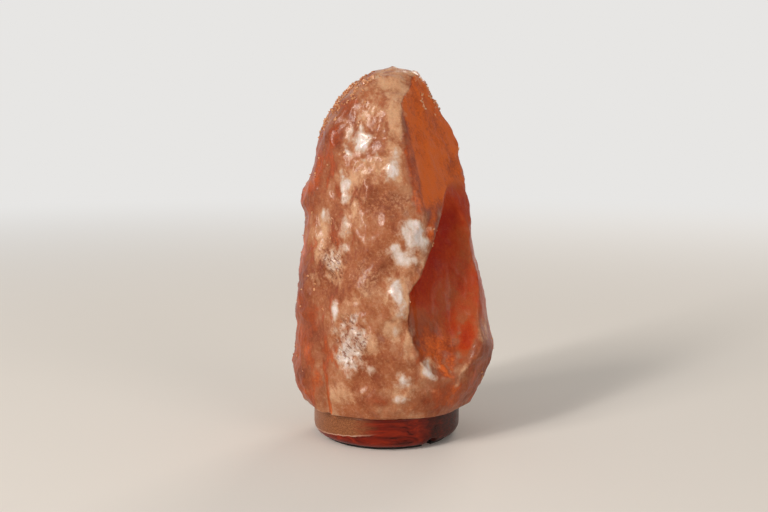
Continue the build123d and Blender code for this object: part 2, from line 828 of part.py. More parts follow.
def make_filament_supports():
    chord = 2 * lead_reach
    arch_radius = (chord ** 2 / 4 + filament_rise ** 2) / (2 * filament_rise)
    arch_centre_z = filament_end_z() + filament_rise - arch_radius
    supports = []
    for side in (1, -1):
        top_x = side * support_spread
        arch_z = arch_centre_z + (arch_radius ** 2 - support_spread ** 2) ** 0.5
        top_z = arch_z - filament_radius - support_radius
        foot = (side * support_foot_x, support_foot_y, stem_top_z)
        supports.append(wire(Line(foot, (top_x, 0, top_z)), support_radius))
    return supports


# ================================================================ write every sub-part
def as_shape(solids):
    """Keep one solid as it is, and gather identical fasteners as separate solids."""
    if not isinstance(solids, list):
        return solids
    return Compound(children=[Solid(item.solid().wrapped) for item in solids])


makers = {
    "salt_crystal": make_salt_crystal,
    "wooden_base": make_wooden_base,
    "base_pad": make_base_pad,
    "base_screws": make_base_screws,
    "screw_plugs": make_screw_plugs,
    "holder_plate": make_holder_plate,
    "spring_claws": make_spring_claws,
    "holder_nipple": make_holder_nipple,
    "nipple_nut": make_nipple_nut,
    "lock_washer": make_lock_washer,
    "cord_bush": make_cord_bush,
    "socket_cap": make_socket_cap,
    "socket_barrel": make_socket_barrel,
    "contact_block": make_contact_block,
    "screw_shell": make_screw_shell,
    "centre_contact": make_centre_contact,
    "shell_contact": make_shell_contact,
    "contact_rivets": make_contact_rivets,
    "terminal_clamps": make_terminal_clamps,
    "terminal_screws": make_terminal_screws,
    "cap_contact": make_cap_contact,
    "cap_insulator": make_cap_insulator,
    "bulb_cap": make_bulb_cap,
    "bulb_glass": make_bulb_glass,
    "glass_mount": make_glass_mount,
    "lead_wires": make_lead_wires,
    "filament": make_filament,
    "filament_supports": make_filament_supports,
}

os.makedirs("parts", exist_ok=True)
for node, make in makers.items():
    shape = as_shape(make())
    export_step(shape, os.path.join("parts", node + ".step"))
    print(node, round(shape.volume, 1))
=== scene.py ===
"""Salt crystal lamp, dressed for rendering.

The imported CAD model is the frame. The hewn block of salt, the turned base, the lampholder
and the bulb are classes that hold their sizes in metres, build their meshes and dress them.
The front of the lamp faces -Y, and Z is up.
"""

import logging
import math
from dataclasses import dataclass, field
from enum import Enum
from functools import cache
from typing import Callable, Optional, Protocol, Sequence, Union

import bmesh
import bpy
import numpy as np
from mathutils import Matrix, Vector, noise


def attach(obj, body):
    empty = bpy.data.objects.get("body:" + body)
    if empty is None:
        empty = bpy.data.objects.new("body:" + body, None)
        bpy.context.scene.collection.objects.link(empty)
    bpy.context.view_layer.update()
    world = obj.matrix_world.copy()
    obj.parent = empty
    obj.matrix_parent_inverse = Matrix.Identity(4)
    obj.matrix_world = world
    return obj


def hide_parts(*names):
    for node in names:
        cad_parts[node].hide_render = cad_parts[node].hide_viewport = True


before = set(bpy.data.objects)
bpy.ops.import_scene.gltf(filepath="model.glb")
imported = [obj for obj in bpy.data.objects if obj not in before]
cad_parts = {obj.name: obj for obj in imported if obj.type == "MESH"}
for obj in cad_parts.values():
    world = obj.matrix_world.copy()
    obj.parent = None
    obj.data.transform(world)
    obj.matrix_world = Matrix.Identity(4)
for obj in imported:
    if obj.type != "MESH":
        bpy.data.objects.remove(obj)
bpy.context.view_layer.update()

MM = 0.001
CAD_JOIN = 0.002 * MM
LATHE_JOIN = 0.001 * MM
LATHE_SLIVER = 0.0005 * MM
THREAD_JOIN = 0.005 * MM

log = logging.getLogger("salt_lamp")

Colour = tuple[float, float, float, float]
Item = bpy.types.Object
Socket = bpy.types.NodeSocket
Outputs = bpy.types.bpy_prop_collection
Outline = Sequence[tuple[float, float]]
Feed = Union[float, int, bool, str, Colour, tuple, Socket, None]
Feeds = dict[Union[str, int], Feed]


# ------------------------------------------------------------------ small tools
def tone(code: str) -> Colour:
    """Turn a paint code into a linear colour.

    Args:
        code: The colour as six hexadecimal digits after a hash.

    Returns:
        Red, green, blue and an alpha of 1, linear.
    """
    channels = [int(code[at:at + 2], 16) / 255 for at in (1, 3, 5)]
    linear = [c / 12.92 if c <= 0.04045 else ((c + 0.055) / 1.055) ** 2.4 for c in channels]
    return (linear[0], linear[1], linear[2], 1.0)


def new_object(name: str, mesh: Optional[bpy.types.Mesh] = None) -> Item:
    """Put a mesh into the scene as an object at the origin.

    Args:
        name: The object's and the mesh's name.
        mesh: The mesh, or None for an empty one.

    Returns:
        The new object.
    """
    if mesh is None:
        mesh = bpy.data.meshes.new(name)
    mesh.name = name
    item = bpy.data.objects.new(name, mesh)
    bpy.context.scene.collection.objects.link(item)
    return item


def joined_copy(node: str, name: str) -> Item:
    """Copy a CAD node into a new object, with its loose triangles joined.

    Args:
        node: The CAD node's name.
        name: The new object's name.

    Returns:
        The new object.
    """
    sheet = bmesh.new()
    sheet.from_mesh(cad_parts[node].data)
    bmesh.ops.remove_doubles(sheet, verts=sheet.verts, dist=CAD_JOIN)
    sheet.verts.index_update()
    mesh = bpy.data.meshes.new(name)
    mesh.from_pydata([v.co[:] for v in sheet.verts], [],
                     [[v.index for v in face.verts] for face in sheet.faces])
    sheet.free()
    mesh.update()
    return new_object(name, mesh)


def settle(item: Item) -> Item:
    """Turn an object's modifiers into plain mesh and take them off.

    Args:
        item: The object.

    Returns:
        The same object, with its new mesh.
    """
    graph = bpy.context.evaluated_depsgraph_get()
    mesh = bpy.data.meshes.new_from_object(item.evaluated_get(graph), depsgraph=graph)
    old = item.data
    item.modifiers.clear()
    item.data = mesh
    mesh.name = item.name
    if old.users == 0:
        bpy.data.meshes.remove(old)
    return item


def soften(item: Item, angle: float = 32.0) -> Item:
    """Shade an object smooth, with sharp edges where it turns by more than an angle.

    Args:
        item: The object.
        angle: The angle in degrees.

    Returns:
        The same object.
    """
    mesh = item.data
    mesh.polygons.foreach_set("use_smooth", [True] * len(mesh.polygons))
    mesh.set_sharp_from_angle(angle=math.radians(angle))
    mesh.update()
    return item


def lathe(name: str, outline: Outline, segments: int = 72, ring: bool = False) -> Item:
    """Turn an outline about the lamp's axis.

    Args:
        name: The new object's name.
        outline: Points as (radius, height), from foot to top along the outside.
        segments: How many steps make the full turn.
        ring: Whether the last point joins the first again, round a hollow middle.

    Returns:
        The turned object, closed and with its faces outward.
    """
    points = list(outline)
    verts = []
    for radius, height in points:
        for step in range(segments):
            turn = 2 * math.pi * step / segments
            verts.append((radius * math.cos(turn), radius * math.sin(turn), height))
    rows = len(points) if ring else len(points) - 1
    faces = []
    for row in range(rows):
        above = (row + 1) % len(points)
        for step in range(segments):
            after = (step + 1) % segments
            faces.append((row * segments + step, row * segments + after,
                          above * segments + after, above * segments + step))
    mesh = bpy.data.meshes.new(name)
    mesh.from_pydata(verts, [], faces)
    sheet = bmesh.new()
    sheet.from_mesh(mesh)
    bmesh.ops.remove_doubles(sheet, verts=sheet.verts, dist=LATHE_JOIN)
    bmesh.ops.dissolve_degenerate(sheet, edges=sheet.edges, dist=LATHE_SLIVER)
    bmesh.ops.recalc_face_normals(sheet, faces=sheet.faces)
    sheet.to_mesh(mesh)
    sheet.free()
    return soften(new_object(name, mesh))


def arc(centre: tuple[float, float], radius: float, start: float, end: float,
        steps: int = 6) -> list[tuple[float, float]]:
    """Points of an arc on a (radius, height) outline.

    Args:
        centre: The arc's centre.
        radius: Its radius.
        start: The first point's direction in degrees.
        end: The last point's direction in degrees.
        steps: How many runs the arc has.

    Returns:
        The arc's points, both ends among them.
    """
    points = []
    for step in range(steps + 1):
        turn = math.radians(start + (end - start) * step / steps)
        points.append((centre[0] + radius * math.cos(turn), centre[1] + radius * math.sin(turn)))
    return points


def ease(value: np.ndarray, low: float, high: float) -> np.ndarray:
    """Rise smoothly from 0 to 1 as a value goes from low to high."""
    share = np.clip((value - low) / (high - low), 0.0, 1.0)
    return share * share * (3 - 2 * share)


def fade(value: np.ndarray, low: float, high: float) -> np.ndarray:
    """Fall smoothly from 1 to 0 as a value goes from low to high."""
    return ease(-value, -high, -low)


def regrid(item: Item, voxel: float, factor: float, rounds: int) -> Item:
    """Cover an object with an even net of faces, and smooth it.

    Args:
        item: The object.
        voxel: The net's width in metres.
        factor: How far each round of smoothing goes.
        rounds: How many rounds there are.

    Returns:
        The same object, with its new mesh.
    """
    grid = item.modifiers.new("grid", "REMESH")
    grid.mode = "VOXEL"
    grid.voxel_size = voxel
    smooth = item.modifiers.new("smooth", "SMOOTH")
    smooth.factor = factor
    smooth.iterations = rounds
    return settle(item)


def take_in(item: Item, other: Item) -> Item:
    """Add another object's mesh to an object, and remove the other.

    Args:
        item: The object that stays.
        other: The object that is taken in.

    Returns:
        The object that stays.
    """
    sheet = bmesh.new()
    sheet.from_mesh(item.data)
    sheet.from_mesh(other.data)
    sheet.to_mesh(item.data)
    sheet.free()
    bpy.data.objects.remove(other)
    return item


def seat(item: Item, body: str, slot: str, *nodes: str) -> None:
    """Fix a piece to its body and hide the CAD nodes it stands for.

    Args:
        item: The piece.
        body: The body that carries it.
        slot: Not used.
        nodes: The CAD nodes that it stands for, if any.
    """
    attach(item, body)
    if nodes:
        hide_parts(*nodes)
    log.info("%s: %d faces, on %s", item.name, len(item.data.polygons), body)


# ------------------------------------------------------------------ node sheets
class NodeSheet:
    """Adds nodes to one node tree and wires them as they come."""

    def __init__(self, tree: bpy.types.NodeTree) -> None:
        """Start on an empty tree."""
        self.tree = tree
        self.count = 0

    def add(self, kind: str, feeds: Optional[Feeds] = None,
            **settings: object) -> bpy.types.Node:
        """Add a node.

        Args:
            kind: The node's type name in Blender.
            feeds: What goes into its inputs, by name or number: a socket or a fixed value.
            settings: The node's own properties.

        Returns:
            The new node.
        """
        node = self.tree.nodes.new(kind)
        node.location = (180 * (self.count % 12), -260 * (self.count // 12))
        self.count += 1
        for key, value in settings.items():
            setattr(node, key, value)
        for key, value in (feeds or {}).items():
            if isinstance(value, Socket):
                self.tree.links.new(value, node.inputs[key])
            elif value is not None:
                node.inputs[key].default_value = value
        return node

    def get(self, kind: str, feeds: Optional[Feeds] = None, **settings: object) -> Socket:
        """Add a node as above, and give its first output."""
        return self.add(kind, feeds, **settings).outputs[0]

    def work(self, operation: str, first: Feed, second: Feed = None) -> Socket:
        """Work out one arithmetic step, under its name in Blender."""
        return self.get("ShaderNodeMath", {0: first, 1: second}, operation=operation)

    def times(self, first: Feed, second: Feed) -> Socket:
        """Multiply two values."""
        return self.work("MULTIPLY", first, second)

    def plus(self, first: Feed, second: Feed) -> Socket:
        """Add two values."""
        return self.work("ADD", first, second)

    def minus(self, first: Feed, second: Feed) -> Socket:
        """Take the second value from the first."""
        return self.work("SUBTRACT", first, second)

    def over(self, first: Feed, second: Feed) -> Socket:
        """Divide the first value by the second."""
        return self.work("DIVIDE", first, second)

    def span(self, value: Feed, low: Feed, high: Feed, to_low: Feed = 0.0, to_high: Feed = 1.0,
             kind: str = "SMOOTHSTEP") -> Socket:
        """Map a value from one range to another, held at both ends.

        Args:
            value: The value.
            low: Where the first range starts.
            high: Where it ends.
            to_low: Where the second range starts.
            to_high: Where it ends.
            kind: Blender's name for the way between the ends.

        Returns:
            The mapped value.
        """
        return self.get("ShaderNodeMapRange", {"Value": value, "From Min": low, "From Max": high,
                                               "To Min": to_low, "To Max": to_high},
                        interpolation_type=kind)

    def mix(self, share: Feed, first: Feed, second: Feed,
            blend: str = "MIX") -> Socket:
        """Mix two colours."""
        return self.add("ShaderNodeMix", {0: share, 6: first, 7: second},
                        data_type="RGBA", blend_type=blend).outputs[2]

    def ramp(self, value: Feed, stops: Sequence[tuple[float, str]]) -> Socket:
        """Colour a value by stops of place and paint code.

        Args:
            value: The value.
            stops: Places from 0 to 1, each with its paint code.

        Returns:
            The colour.
        """
        node = self.add("ShaderNodeValToRGB", {0: value})
        elements = node.color_ramp.elements
        for index, (place, code) in enumerate(stops):
            stop = elements[index] if index < 2 else elements.new(place)
            stop.position = place
            stop.color = tone(code)
        return node.outputs[0]

    def noise(self, place: Feed, scale: Feed, detail: float = 4.0, rough: float = 0.55,
              bend: float = 0.0) -> Socket:
        """Cloudy noise between 0 and 1; the scale is in turns per metre.

        Args:
            place: The point.
            scale: How many turns it makes in a metre.
            detail: How many sizes are laid over each other.
            rough: How much each finer size counts.
            bend: How far it is distorted.

        Returns:
            A value between 0 and 1.
        """
        return self.get("ShaderNodeTexNoise",
                        {"Vector": place, "Scale": scale, "Detail": detail,
                         "Roughness": rough, "Distortion": bend})

    def cells(self, place: Feed, scale: Feed, feature: str = "F1") -> Socket:
        """Distance within random cells."""
        return self.add("ShaderNodeTexVoronoi", {"Vector": place, "Scale": scale},
                        feature=feature).outputs["Distance"]

    def place(self) -> Socket:
        """The point on the object, in metres."""
        return self.add("ShaderNodeTexCoord").outputs["Object"]

    def split(self, point: Feed) -> Outputs:
        """The three parts of a point."""
        return self.add("ShaderNodeSeparateXYZ", {0: point}).outputs

    def point(self, x: Feed, y: Feed, z: Feed) -> Socket:
        """A point made of its three parts."""
        return self.get("ShaderNodeCombineXYZ", {0: x, 1: y, 2: z})

    def even(self, value: Feed) -> Socket:
        """A point whose three parts are one value."""
        return self.point(value, value, value)

    def stretched(self, place: Feed, scale: tuple[float, float, float],
                  lean: float = 0.0) -> Socket:
        """The point, leant to one side by some degrees and scaled along each axis.

        Args:
            place: The point.
            scale: One factor for each axis.
            lean: The angle in degrees.

        Returns:
            The new point.
        """
        if lean:
            place = self.get("ShaderNodeMapping", {
                "Vector": place, "Rotation": (0.0, math.radians(lean), 0.0)})
        return self.get("ShaderNodeMapping", {"Vector": place, "Scale": scale})

    def mark(self, name: str) -> Socket:
        """A value that is stored on the mesh under a name."""
        return self.add("ShaderNodeAttribute", attribute_name=name).outputs["Fac"]

    def bump(self, height: Feed, depth: float, strength: float = 1.0,
             under: Feed = None) -> Socket:
        """Raise a surface by a height between 0 and 1 times a depth in metres."""
        return self.get("ShaderNodeBump", {"Height": height, "Distance": depth,
                                           "Strength": strength, "Normal": under})

    def surface(self, feeds: Feeds) -> bpy.types.Node:
        """End a material in one Principled surface.

        Args:
            feeds: What goes into the surface's inputs, by name.

        Returns:
            The surface's node.
        """
        shader = self.add("ShaderNodeBsdfPrincipled", feeds)
        self.add("ShaderNodeOutputMaterial", {"Surface": shader.outputs[0]})
        return shader


def blank_material(name: str) -> tuple[bpy.types.Material, NodeSheet]:
    """Make an empty material and a sheet to write its nodes on.

    Args:
        name: The material's name.

    Returns:
        The material and its sheet.
    """
    material = bpy.data.materials.new(name)
    material.use_nodes = True
    material.node_tree.nodes.clear()
    return material, NodeSheet(material.node_tree)


# ------------------------------------------------------------------ shared surface effects
class SurfaceEffects:
    """Shader groups that more than one finish uses, each built once."""

    def __init__(self) -> None:
        """Build every group."""
        self.speckle = self._build_speckle()
        self.grain = self._build_grain()
        self.tool_lines = self._build_tool_lines()
        self.edge_wear = self._build_edge_wear()

    @staticmethod
    def _open(name: str, values: dict[str, float],
              outputs: Sequence[str]) -> tuple[bpy.types.NodeTree, NodeSheet, Outputs]:
        """Start a group.

        Args:
            name: The group's name.
            values: Its inputs beside the place, each with its usual value.
            outputs: Names of the values it puts out.

        Returns:
            The group, its sheet and what it is given, by name.
        """
        tree = bpy.data.node_groups.new(name, "ShaderNodeTree")
        tree.interface.new_socket(name="Place", in_out="INPUT", socket_type="NodeSocketVector")
        for label, value in values.items():
            socket = tree.interface.new_socket(name=label, in_out="INPUT",
                                               socket_type="NodeSocketFloat")
            socket.default_value = value
        for label in outputs:
            tree.interface.new_socket(name=label, in_out="OUTPUT", socket_type="NodeSocketFloat")
        sheet = NodeSheet(tree)
        return tree, sheet, sheet.add("NodeGroupInput").outputs

    def _build_speckle(self) -> bpy.types.NodeTree:
        """Random small specks: dust, inclusions, pits.

        Returns:
            The group.
        """
        tree, sheet, given = self._open("Speckle", {"Scale": 900.0, "Amount": 0.3}, ["Mask"])
        distance = sheet.cells(given["Place"], given["Scale"])
        cloud = sheet.noise(given["Place"], 120.0, 3.0)
        reach = sheet.times(sheet.times(cloud, given["Amount"]), 0.9)
        mask = sheet.span(distance, reach, 0.0)
        sheet.add("NodeGroupOutput", {"Mask": mask})
        return tree

    def _build_grain(self) -> bpy.types.NodeTree:
        """Fine uneven surface in two sizes.

        Returns:
            The group.
        """
        tree, sheet, given = self._open("Grain", {"Scale": 900.0}, ["Height", "Cloud"])
        fine = sheet.noise(given["Place"], given["Scale"], 3.0, 0.6)
        broad_scale = sheet.times(given["Scale"], 0.12)
        broad = sheet.noise(given["Place"], broad_scale, 3.0, 0.5)
        height = sheet.plus(sheet.times(fine, 0.6), sheet.times(broad, 0.4))
        sheet.add("NodeGroupOutput", {"Height": height, "Cloud": broad})
        return tree

    def _build_tool_lines(self) -> bpy.types.NodeTree:
        """Lines that a lathe or a die leaves round the lamp's axis.

        Returns:
            The group.
        """
        tree, sheet, given = self._open("ToolLines", {"Pitch": MM}, ["Height"])
        parts = sheet.split(given["Place"])
        across = sheet.work("SQRT", sheet.plus(sheet.times(parts[0], parts[0]),
                                               sheet.times(parts[1], parts[1])))
        along = sheet.plus(across, sheet.times(parts[2], 0.83))
        shaky = sheet.plus(along, sheet.times(sheet.noise(given["Place"], 60.0), 0.4 * MM))
        turns = sheet.over(shaky, given["Pitch"])
        wave = sheet.work("SINE", sheet.times(turns, 2 * math.pi))
        sheet.add("NodeGroupOutput", {"Height": sheet.span(wave, -1.0, 1.0, kind="LINEAR")})
        return tree

    def _build_edge_wear(self) -> bpy.types.NodeTree:
        """Worn edges, broken up by noise.

        Returns:
            The group.
        """
        tree, sheet, given = self._open("EdgeWear", {"Amount": 0.5}, ["Mask"])
        edge = sheet.add("ShaderNodeNewGeometry").outputs["Pointiness"]
        raised = sheet.span(edge, 0.52, 0.60)
        broken = sheet.span(sheet.noise(given["Place"], 420.0, 5.0, 0.65), 0.42, 0.60)
        mask = sheet.times(sheet.times(raised, broken), given["Amount"])
        sheet.add("NodeGroupOutput", {"Mask": mask})
        return tree


EFFECTS = SurfaceEffects()


def effect(sheet: NodeSheet, tree: bpy.types.NodeTree, at: Feed, **values: Feed) -> Outputs:
    """Lay a shared effect over a surface, with its own values, and give what it puts out."""
    return sheet.add("ShaderNodeGroup", {"Place": at, **values}, node_tree=tree).outputs


# ------------------------------------------------------------------ finishes
class Tint(Enum):
    """Kinds of colouring on the salt, each stored on the mesh under its own name."""

    # Frosty patches that also carry painted highlights.
    FROST = "frost"
    CREAM = "cream"
    WARM = "warm"
    # The red hollow, with painted shade that darkens next to the ledge.
    DEEP = "deep"
    SPECKLE = "speckled"
    CRAZED = "crazed"


class Finish(Protocol):
    """A look that writes its own material."""

    def material(self) -> bpy.types.Material:
        """Write the look's nodes."""


class SaltNoises:
    """The noises that the salt's colours, gloss and relief share, on one node sheet."""

    def __init__(self, sheet: NodeSheet, look: "SaltFinish") -> None:
        """Add every noise once.

        Args:
            sheet: The material's sheet.
            look: The finish, which says how fine each noise is and how far it leans.
        """
        self.sheet = sheet
        self.at = sheet.place()
        self.cloud = sheet.noise(self.at, look.cloud_scale, 5.0, 0.55)
        self.wisps = sheet.noise(sheet.stretched(self.at, (1.0, 1.0, 0.55), look.wisp_lean),
                                 look.wisp_scale, 6.0, 0.60)
        self.strokes = sheet.noise(sheet.stretched(self.at, (1.0, 1.0, 0.42), look.stroke_lean),
                                   look.stroke_scale, 3.0, 0.55)
        self.fine = sheet.noise(self.at, look.fine_scale, 5.0, 0.68)
        self.tiny = sheet.noise(self.at, look.tiny_scale, 2.0, 0.6)
        self.ragged = self.lean((self.wisps, 1.9), (self.strokes, 0.9), (self.fine, 0.6),
                                (self.cloud, 0.6))
        self.mood = sheet.plus(self.lean((self.cloud, 0.9), (self.wisps, 0.6), (self.fine, 0.4)),
                               0.5)

    def lean(self, *parts: tuple[Socket, float]) -> Socket:
        """Add noises about their middle, each by its own weight.

        Args:
            parts: Each noise with its weight.

        Returns:
            The weighted sum, about 0.
        """
        total = None
        for source, weight in parts:
            part = self.sheet.times(self.sheet.minus(source, 0.5), weight)
            total = part if total is None else self.sheet.plus(total, part)
        return total

    def mark(self, tint: Tint) -> Socket:
        """How strongly the mesh is marked with a tint."""
        return self.sheet.mark(tint.value)

    def broken(self, tint: Tint, amount: float = 1.0) -> Socket:
        """One tint's mark with a broken edge, still nothing where the tint isn't.

        Args:
            tint: The tint.
            amount: How far its edge is broken.

        Returns:
            The mark, between about -1 and 2.
        """
        mark = self.mark(tint)
        gate = self.sheet.times(self.sheet.span(mark, 0.0, 0.3), amount)
        return self.sheet.plus(mark, self.sheet.times(self.ragged, gate))

    def specks(self, scale: float, amount: float) -> Socket:
        """Random specks, so many to a metre, over some part of the surface."""
        return effect(self.sheet, EFFECTS.speckle, self.at, Scale=scale, Amount=amount)["Mask"]


@dataclass(frozen=True)
class SaltFinish:
    """Translucent pink and orange rock salt with frosty, glossy breaks, painted highlights on the
    frost and painted shade in the hollow and on the sides.
    """

    name: str = "rock_salt_hewn"
    amber_dark: str = "#86401F"
    amber: str = "#A25F3A"
    haze: str = "#B88562"
    sugar: str = "#C69A78"
    warm_dark: str = "#6A2000"
    warm: str = "#A03F0A"
    warm_bright: str = "#D26118"
    # The hollow's red; its darkest colour is painted shade next to the ledge.
    ledge_shade_red: str = "#961E04"
    deep: str = "#AA3A0C"
    hollow_red_far: str = "#A84C1E"
    cream: str = "#C2906A"
    cream_pale: str = "#D2A682"
    # Frost colours: the halo and the near-white core are a painted highlight over the frost.
    highlight_halo: str = "#BE9272"
    frost: str = "#C8AE9C"
    highlight_core: str = "#DED3D0"
    speckle: str = "#84442A"
    crack: str = "#7A3A1C"
    cloud_scale: float = 34.0
    wisp_scale: float = 105.0
    wisp_lean: float = 24.0
    stroke_scale: float = 300.0
    stroke_lean: float = 16.0
    hatch_scale: float = 420.0
    hatch_lean: float = 52.0
    fine_scale: float = 520.0
    tiny_scale: float = 1700.0
    inclusion_scale: float = 420.0
    painted_sparkle_scale: float = 760.0
    wisp_relief: float = 1.3 * MM
    stroke_relief: float = 0.9 * MM
    crack_relief: float = 0.6 * MM
    fine_relief: float = 0.5 * MM
    grain_relief: float = 0.28 * MM
    refraction: float = 1.5
    glow: float = 0.15
    glow_reach: tuple[float, float, float] = (6 * MM, 2.2 * MM, 1.0 * MM)
    coat_roughness: float = 0.19

    def _ground(self, on: SaltNoises) -> Socket:
        """The plain salt: from dark to pale, sugary, with the darker specks of some areas.

        Args:
            on: The salt's noises.

        Returns:
            The colour.
        """
        sheet = on.sheet
        base = sheet.ramp(on.mood, ((0.30, self.amber_dark), (0.49, self.amber),
                                    (0.72, self.haze)))
        base = sheet.mix(sheet.span(on.fine, 0.52, 0.74, 0.0, 0.32), base, tone(self.sugar))
        specks = sheet.times(sheet.span(on.broken(Tint.SPECKLE), 0.1, 0.8),
                             sheet.span(on.fine, 0.62, 0.36))
        return sheet.mix(sheet.times(specks, 0.85), base, tone(self.speckle))

    def _tinted(self, on: SaltNoises, base: Feed) -> Socket:
        """Lay the orange, red and cream areas over a colour, with painted shade in the red hollow
        and on the sides.

        Args:
            on: The salt's noises.
            base: The colour below.

        Returns:
            The new colour.
        """
        sheet = on.sheet
        # The warm mark also holds painted shade and glow on the sides and painted shade at the
        # lower right; a lower mark gives the darker warm colours.
        heat = sheet.plus(on.mark(Tint.WARM),
                          on.lean((on.cloud, 1.4), (on.wisps, 0.9), (on.fine, 1.0)))
        warm = sheet.ramp(heat, ((0.15, self.warm_dark), (0.60, self.warm),
                                 (1.0, self.warm_bright)))
        base = sheet.mix(sheet.times(sheet.span(on.broken(Tint.WARM, 0.4), 0.0, 0.62), 0.94),
                         base, warm)
        # The red hollow is painted shade: the stronger its mark, next to the ledge, the darker the
        # red.
        depth = sheet.plus(on.mark(Tint.DEEP),
                           on.lean((on.cloud, 1.5), (on.wisps, 1.3), (on.fine, 0.8)))
        deep = sheet.ramp(sheet.times(depth, 0.72),
                          ((0.12, self.hollow_red_far), (0.42, self.deep), (0.84, self.ledge_shade_red)))
        base = sheet.mix(sheet.span(on.mark(Tint.DEEP), 0.0, 0.35), base, deep)
        cream = sheet.ramp(on.mood, ((0.40, self.cream), (0.62, self.cream_pale)))
        return sheet.mix(sheet.times(sheet.span(on.broken(Tint.CREAM, 1.1), 0.05, 1.15), 0.85),
                         base, cream)

    def _flecked(self, on: SaltNoises, base: Feed, crack: Feed) -> Socket:
        """Lay cracks, inclusions, painted sparkles and a sugary grain over a colour.

        Args:
            on: The salt's noises.
            base: The colour below.
            crack: Where the cracks are.

        Returns:
            The new colour.
        """
        sheet = on.sheet
        base = sheet.mix(sheet.times(crack, 0.75), base, tone(self.crack))
        inclusions = sheet.times(on.specks(self.inclusion_scale, 0.30), 0.35)
        base = sheet.mix(inclusions, base, tone(self.amber_dark))
        # Painted sparkles: small pale specks that stand in for highlights.
        painted_sparkle = sheet.times(on.specks(self.painted_sparkle_scale, 0.34), sheet.span(on.wisps, 0.50, 0.62))
        base = sheet.mix(sheet.times(painted_sparkle, 0.8), base, tone(self.cream_pale))
        sugar = sheet.span(on.tiny, 0.28, 0.72, 0.88, 1.12, "LINEAR")
        shade = sheet.get("ShaderNodeCombineColor", {0: sugar, 1: sugar, 2: sugar})
        return sheet.mix(1.0, base, shade, "MULTIPLY")

    def _relief(self, on: SaltNoises, crack: Feed, frost: Feed) -> Socket:
        """Raise the surface by every noise in turn, less on the frost and its painted highlights.

        Args:
            on: The salt's noises.
            crack: Where the cracks are.
            frost: Where it is frosty and painted with highlights.

        Returns:
            The normal.
        """
        sheet = on.sheet
        grain = effect(sheet, EFFECTS.grain, on.at, Scale=self.tiny_scale)
        rugged = sheet.span(frost, 0.0, 1.0, 1.0, 0.25)
        relief = sheet.bump(on.wisps, self.wisp_relief, 0.5)
        relief = sheet.bump(on.strokes, self.stroke_relief, 0.5, relief)
        relief = sheet.bump(sheet.span(crack, 0.0, 1.0, 1.0, 0.0), self.crack_relief, 0.6, relief)
        relief = sheet.bump(sheet.times(on.fine, rugged), self.fine_relief, 0.4, relief)
        return sheet.bump(sheet.times(grain["Height"], rugged), self.grain_relief, 0.5,
                          relief)

    def material(self) -> bpy.types.Material:
        """Write the salt's nodes.

        Returns:
            The material.
        """
        material, sheet = blank_material(self.name)
        on = SaltNoises(sheet, self)
        base = self._tinted(on, self._ground(on))
        # Frosty patches with painted highlights: a pale halo, the frost and a near-white painted
        # highlight core.
        frost_highlight_level = sheet.span(on.broken(Tint.FROST), 0.0, 1.5, kind="LINEAR")
        frost = sheet.span(frost_highlight_level, 0.15, 0.75)
        base = sheet.mix(sheet.span(frost_highlight_level, 0.0, 0.62, 0.0, 0.95), base, sheet.ramp(
            frost_highlight_level, ((0.15, self.highlight_halo), (0.48, self.frost), (0.80, self.highlight_core))))
        hatch = sheet.noise(sheet.stretched(on.at, (1.0, 1.0, 0.38), self.hatch_lean),
                            self.hatch_scale, 3.0, 0.6, 0.4)
        crack = sheet.times(sheet.span(hatch, 0.47, 0.38), on.mark(Tint.CRAZED))
        rough = sheet.span(sheet.minus(on.fine, sheet.times(frost, 0.3)),
                           0.1, 0.75, 0.22, 0.55, "LINEAR")
        tinted = sheet.work("MAXIMUM", sheet.times(on.mark(Tint.WARM), 0.6), on.mark(Tint.DEEP))
        gloss = sheet.work("MAXIMUM", sheet.span(tinted, 0.0, 0.8, 0.45, 0.08), frost)
        sheet.surface({
            "Base Color": self._flecked(on, base, crack), "Roughness": rough,
            "Normal": self._relief(on, crack, frost), "IOR": self.refraction,
            "Specular IOR Level": 0.1, "Subsurface Weight": self.glow,
            "Subsurface Radius": self.glow_reach, "Subsurface Scale": 1.0,
            "Coat Weight": gloss, "Coat Roughness": self.coat_roughness})
        return material


@dataclass(frozen=True)
class GrainFinish:
    """Small loose crystals of salt that cling to the crest."""

    name: str = "rock_salt_grains"
    pale: str = "#D6A276"
    dark: str = "#B4662F"
    cloud_scale: float = 380.0
    grain_scale: float = 2600.0

    def material(self) -> bpy.types.Material:
        """Write the grains' nodes.

        Returns:
            The material.
        """
        material, sheet = blank_material(self.name)
        at = sheet.place()
        cloud = sheet.noise(at, self.cloud_scale, 3.0, 0.6)
        grain = effect(sheet, EFFECTS.grain, at, Scale=self.grain_scale)
        sheet.surface({
            "Base Color": sheet.ramp(cloud, ((0.35, self.dark), (0.62, self.pale))),
            "Roughness": sheet.span(cloud, 0.2, 0.8, 0.18, 0.42), "IOR": 1.54,
            "Normal": sheet.bump(grain["Height"], 0.12 * MM, 0.4),
            "Subsurface Weight": 0.1, "Subsurface Radius": (4 * MM, 2 * MM, 1 * MM)})
        return material


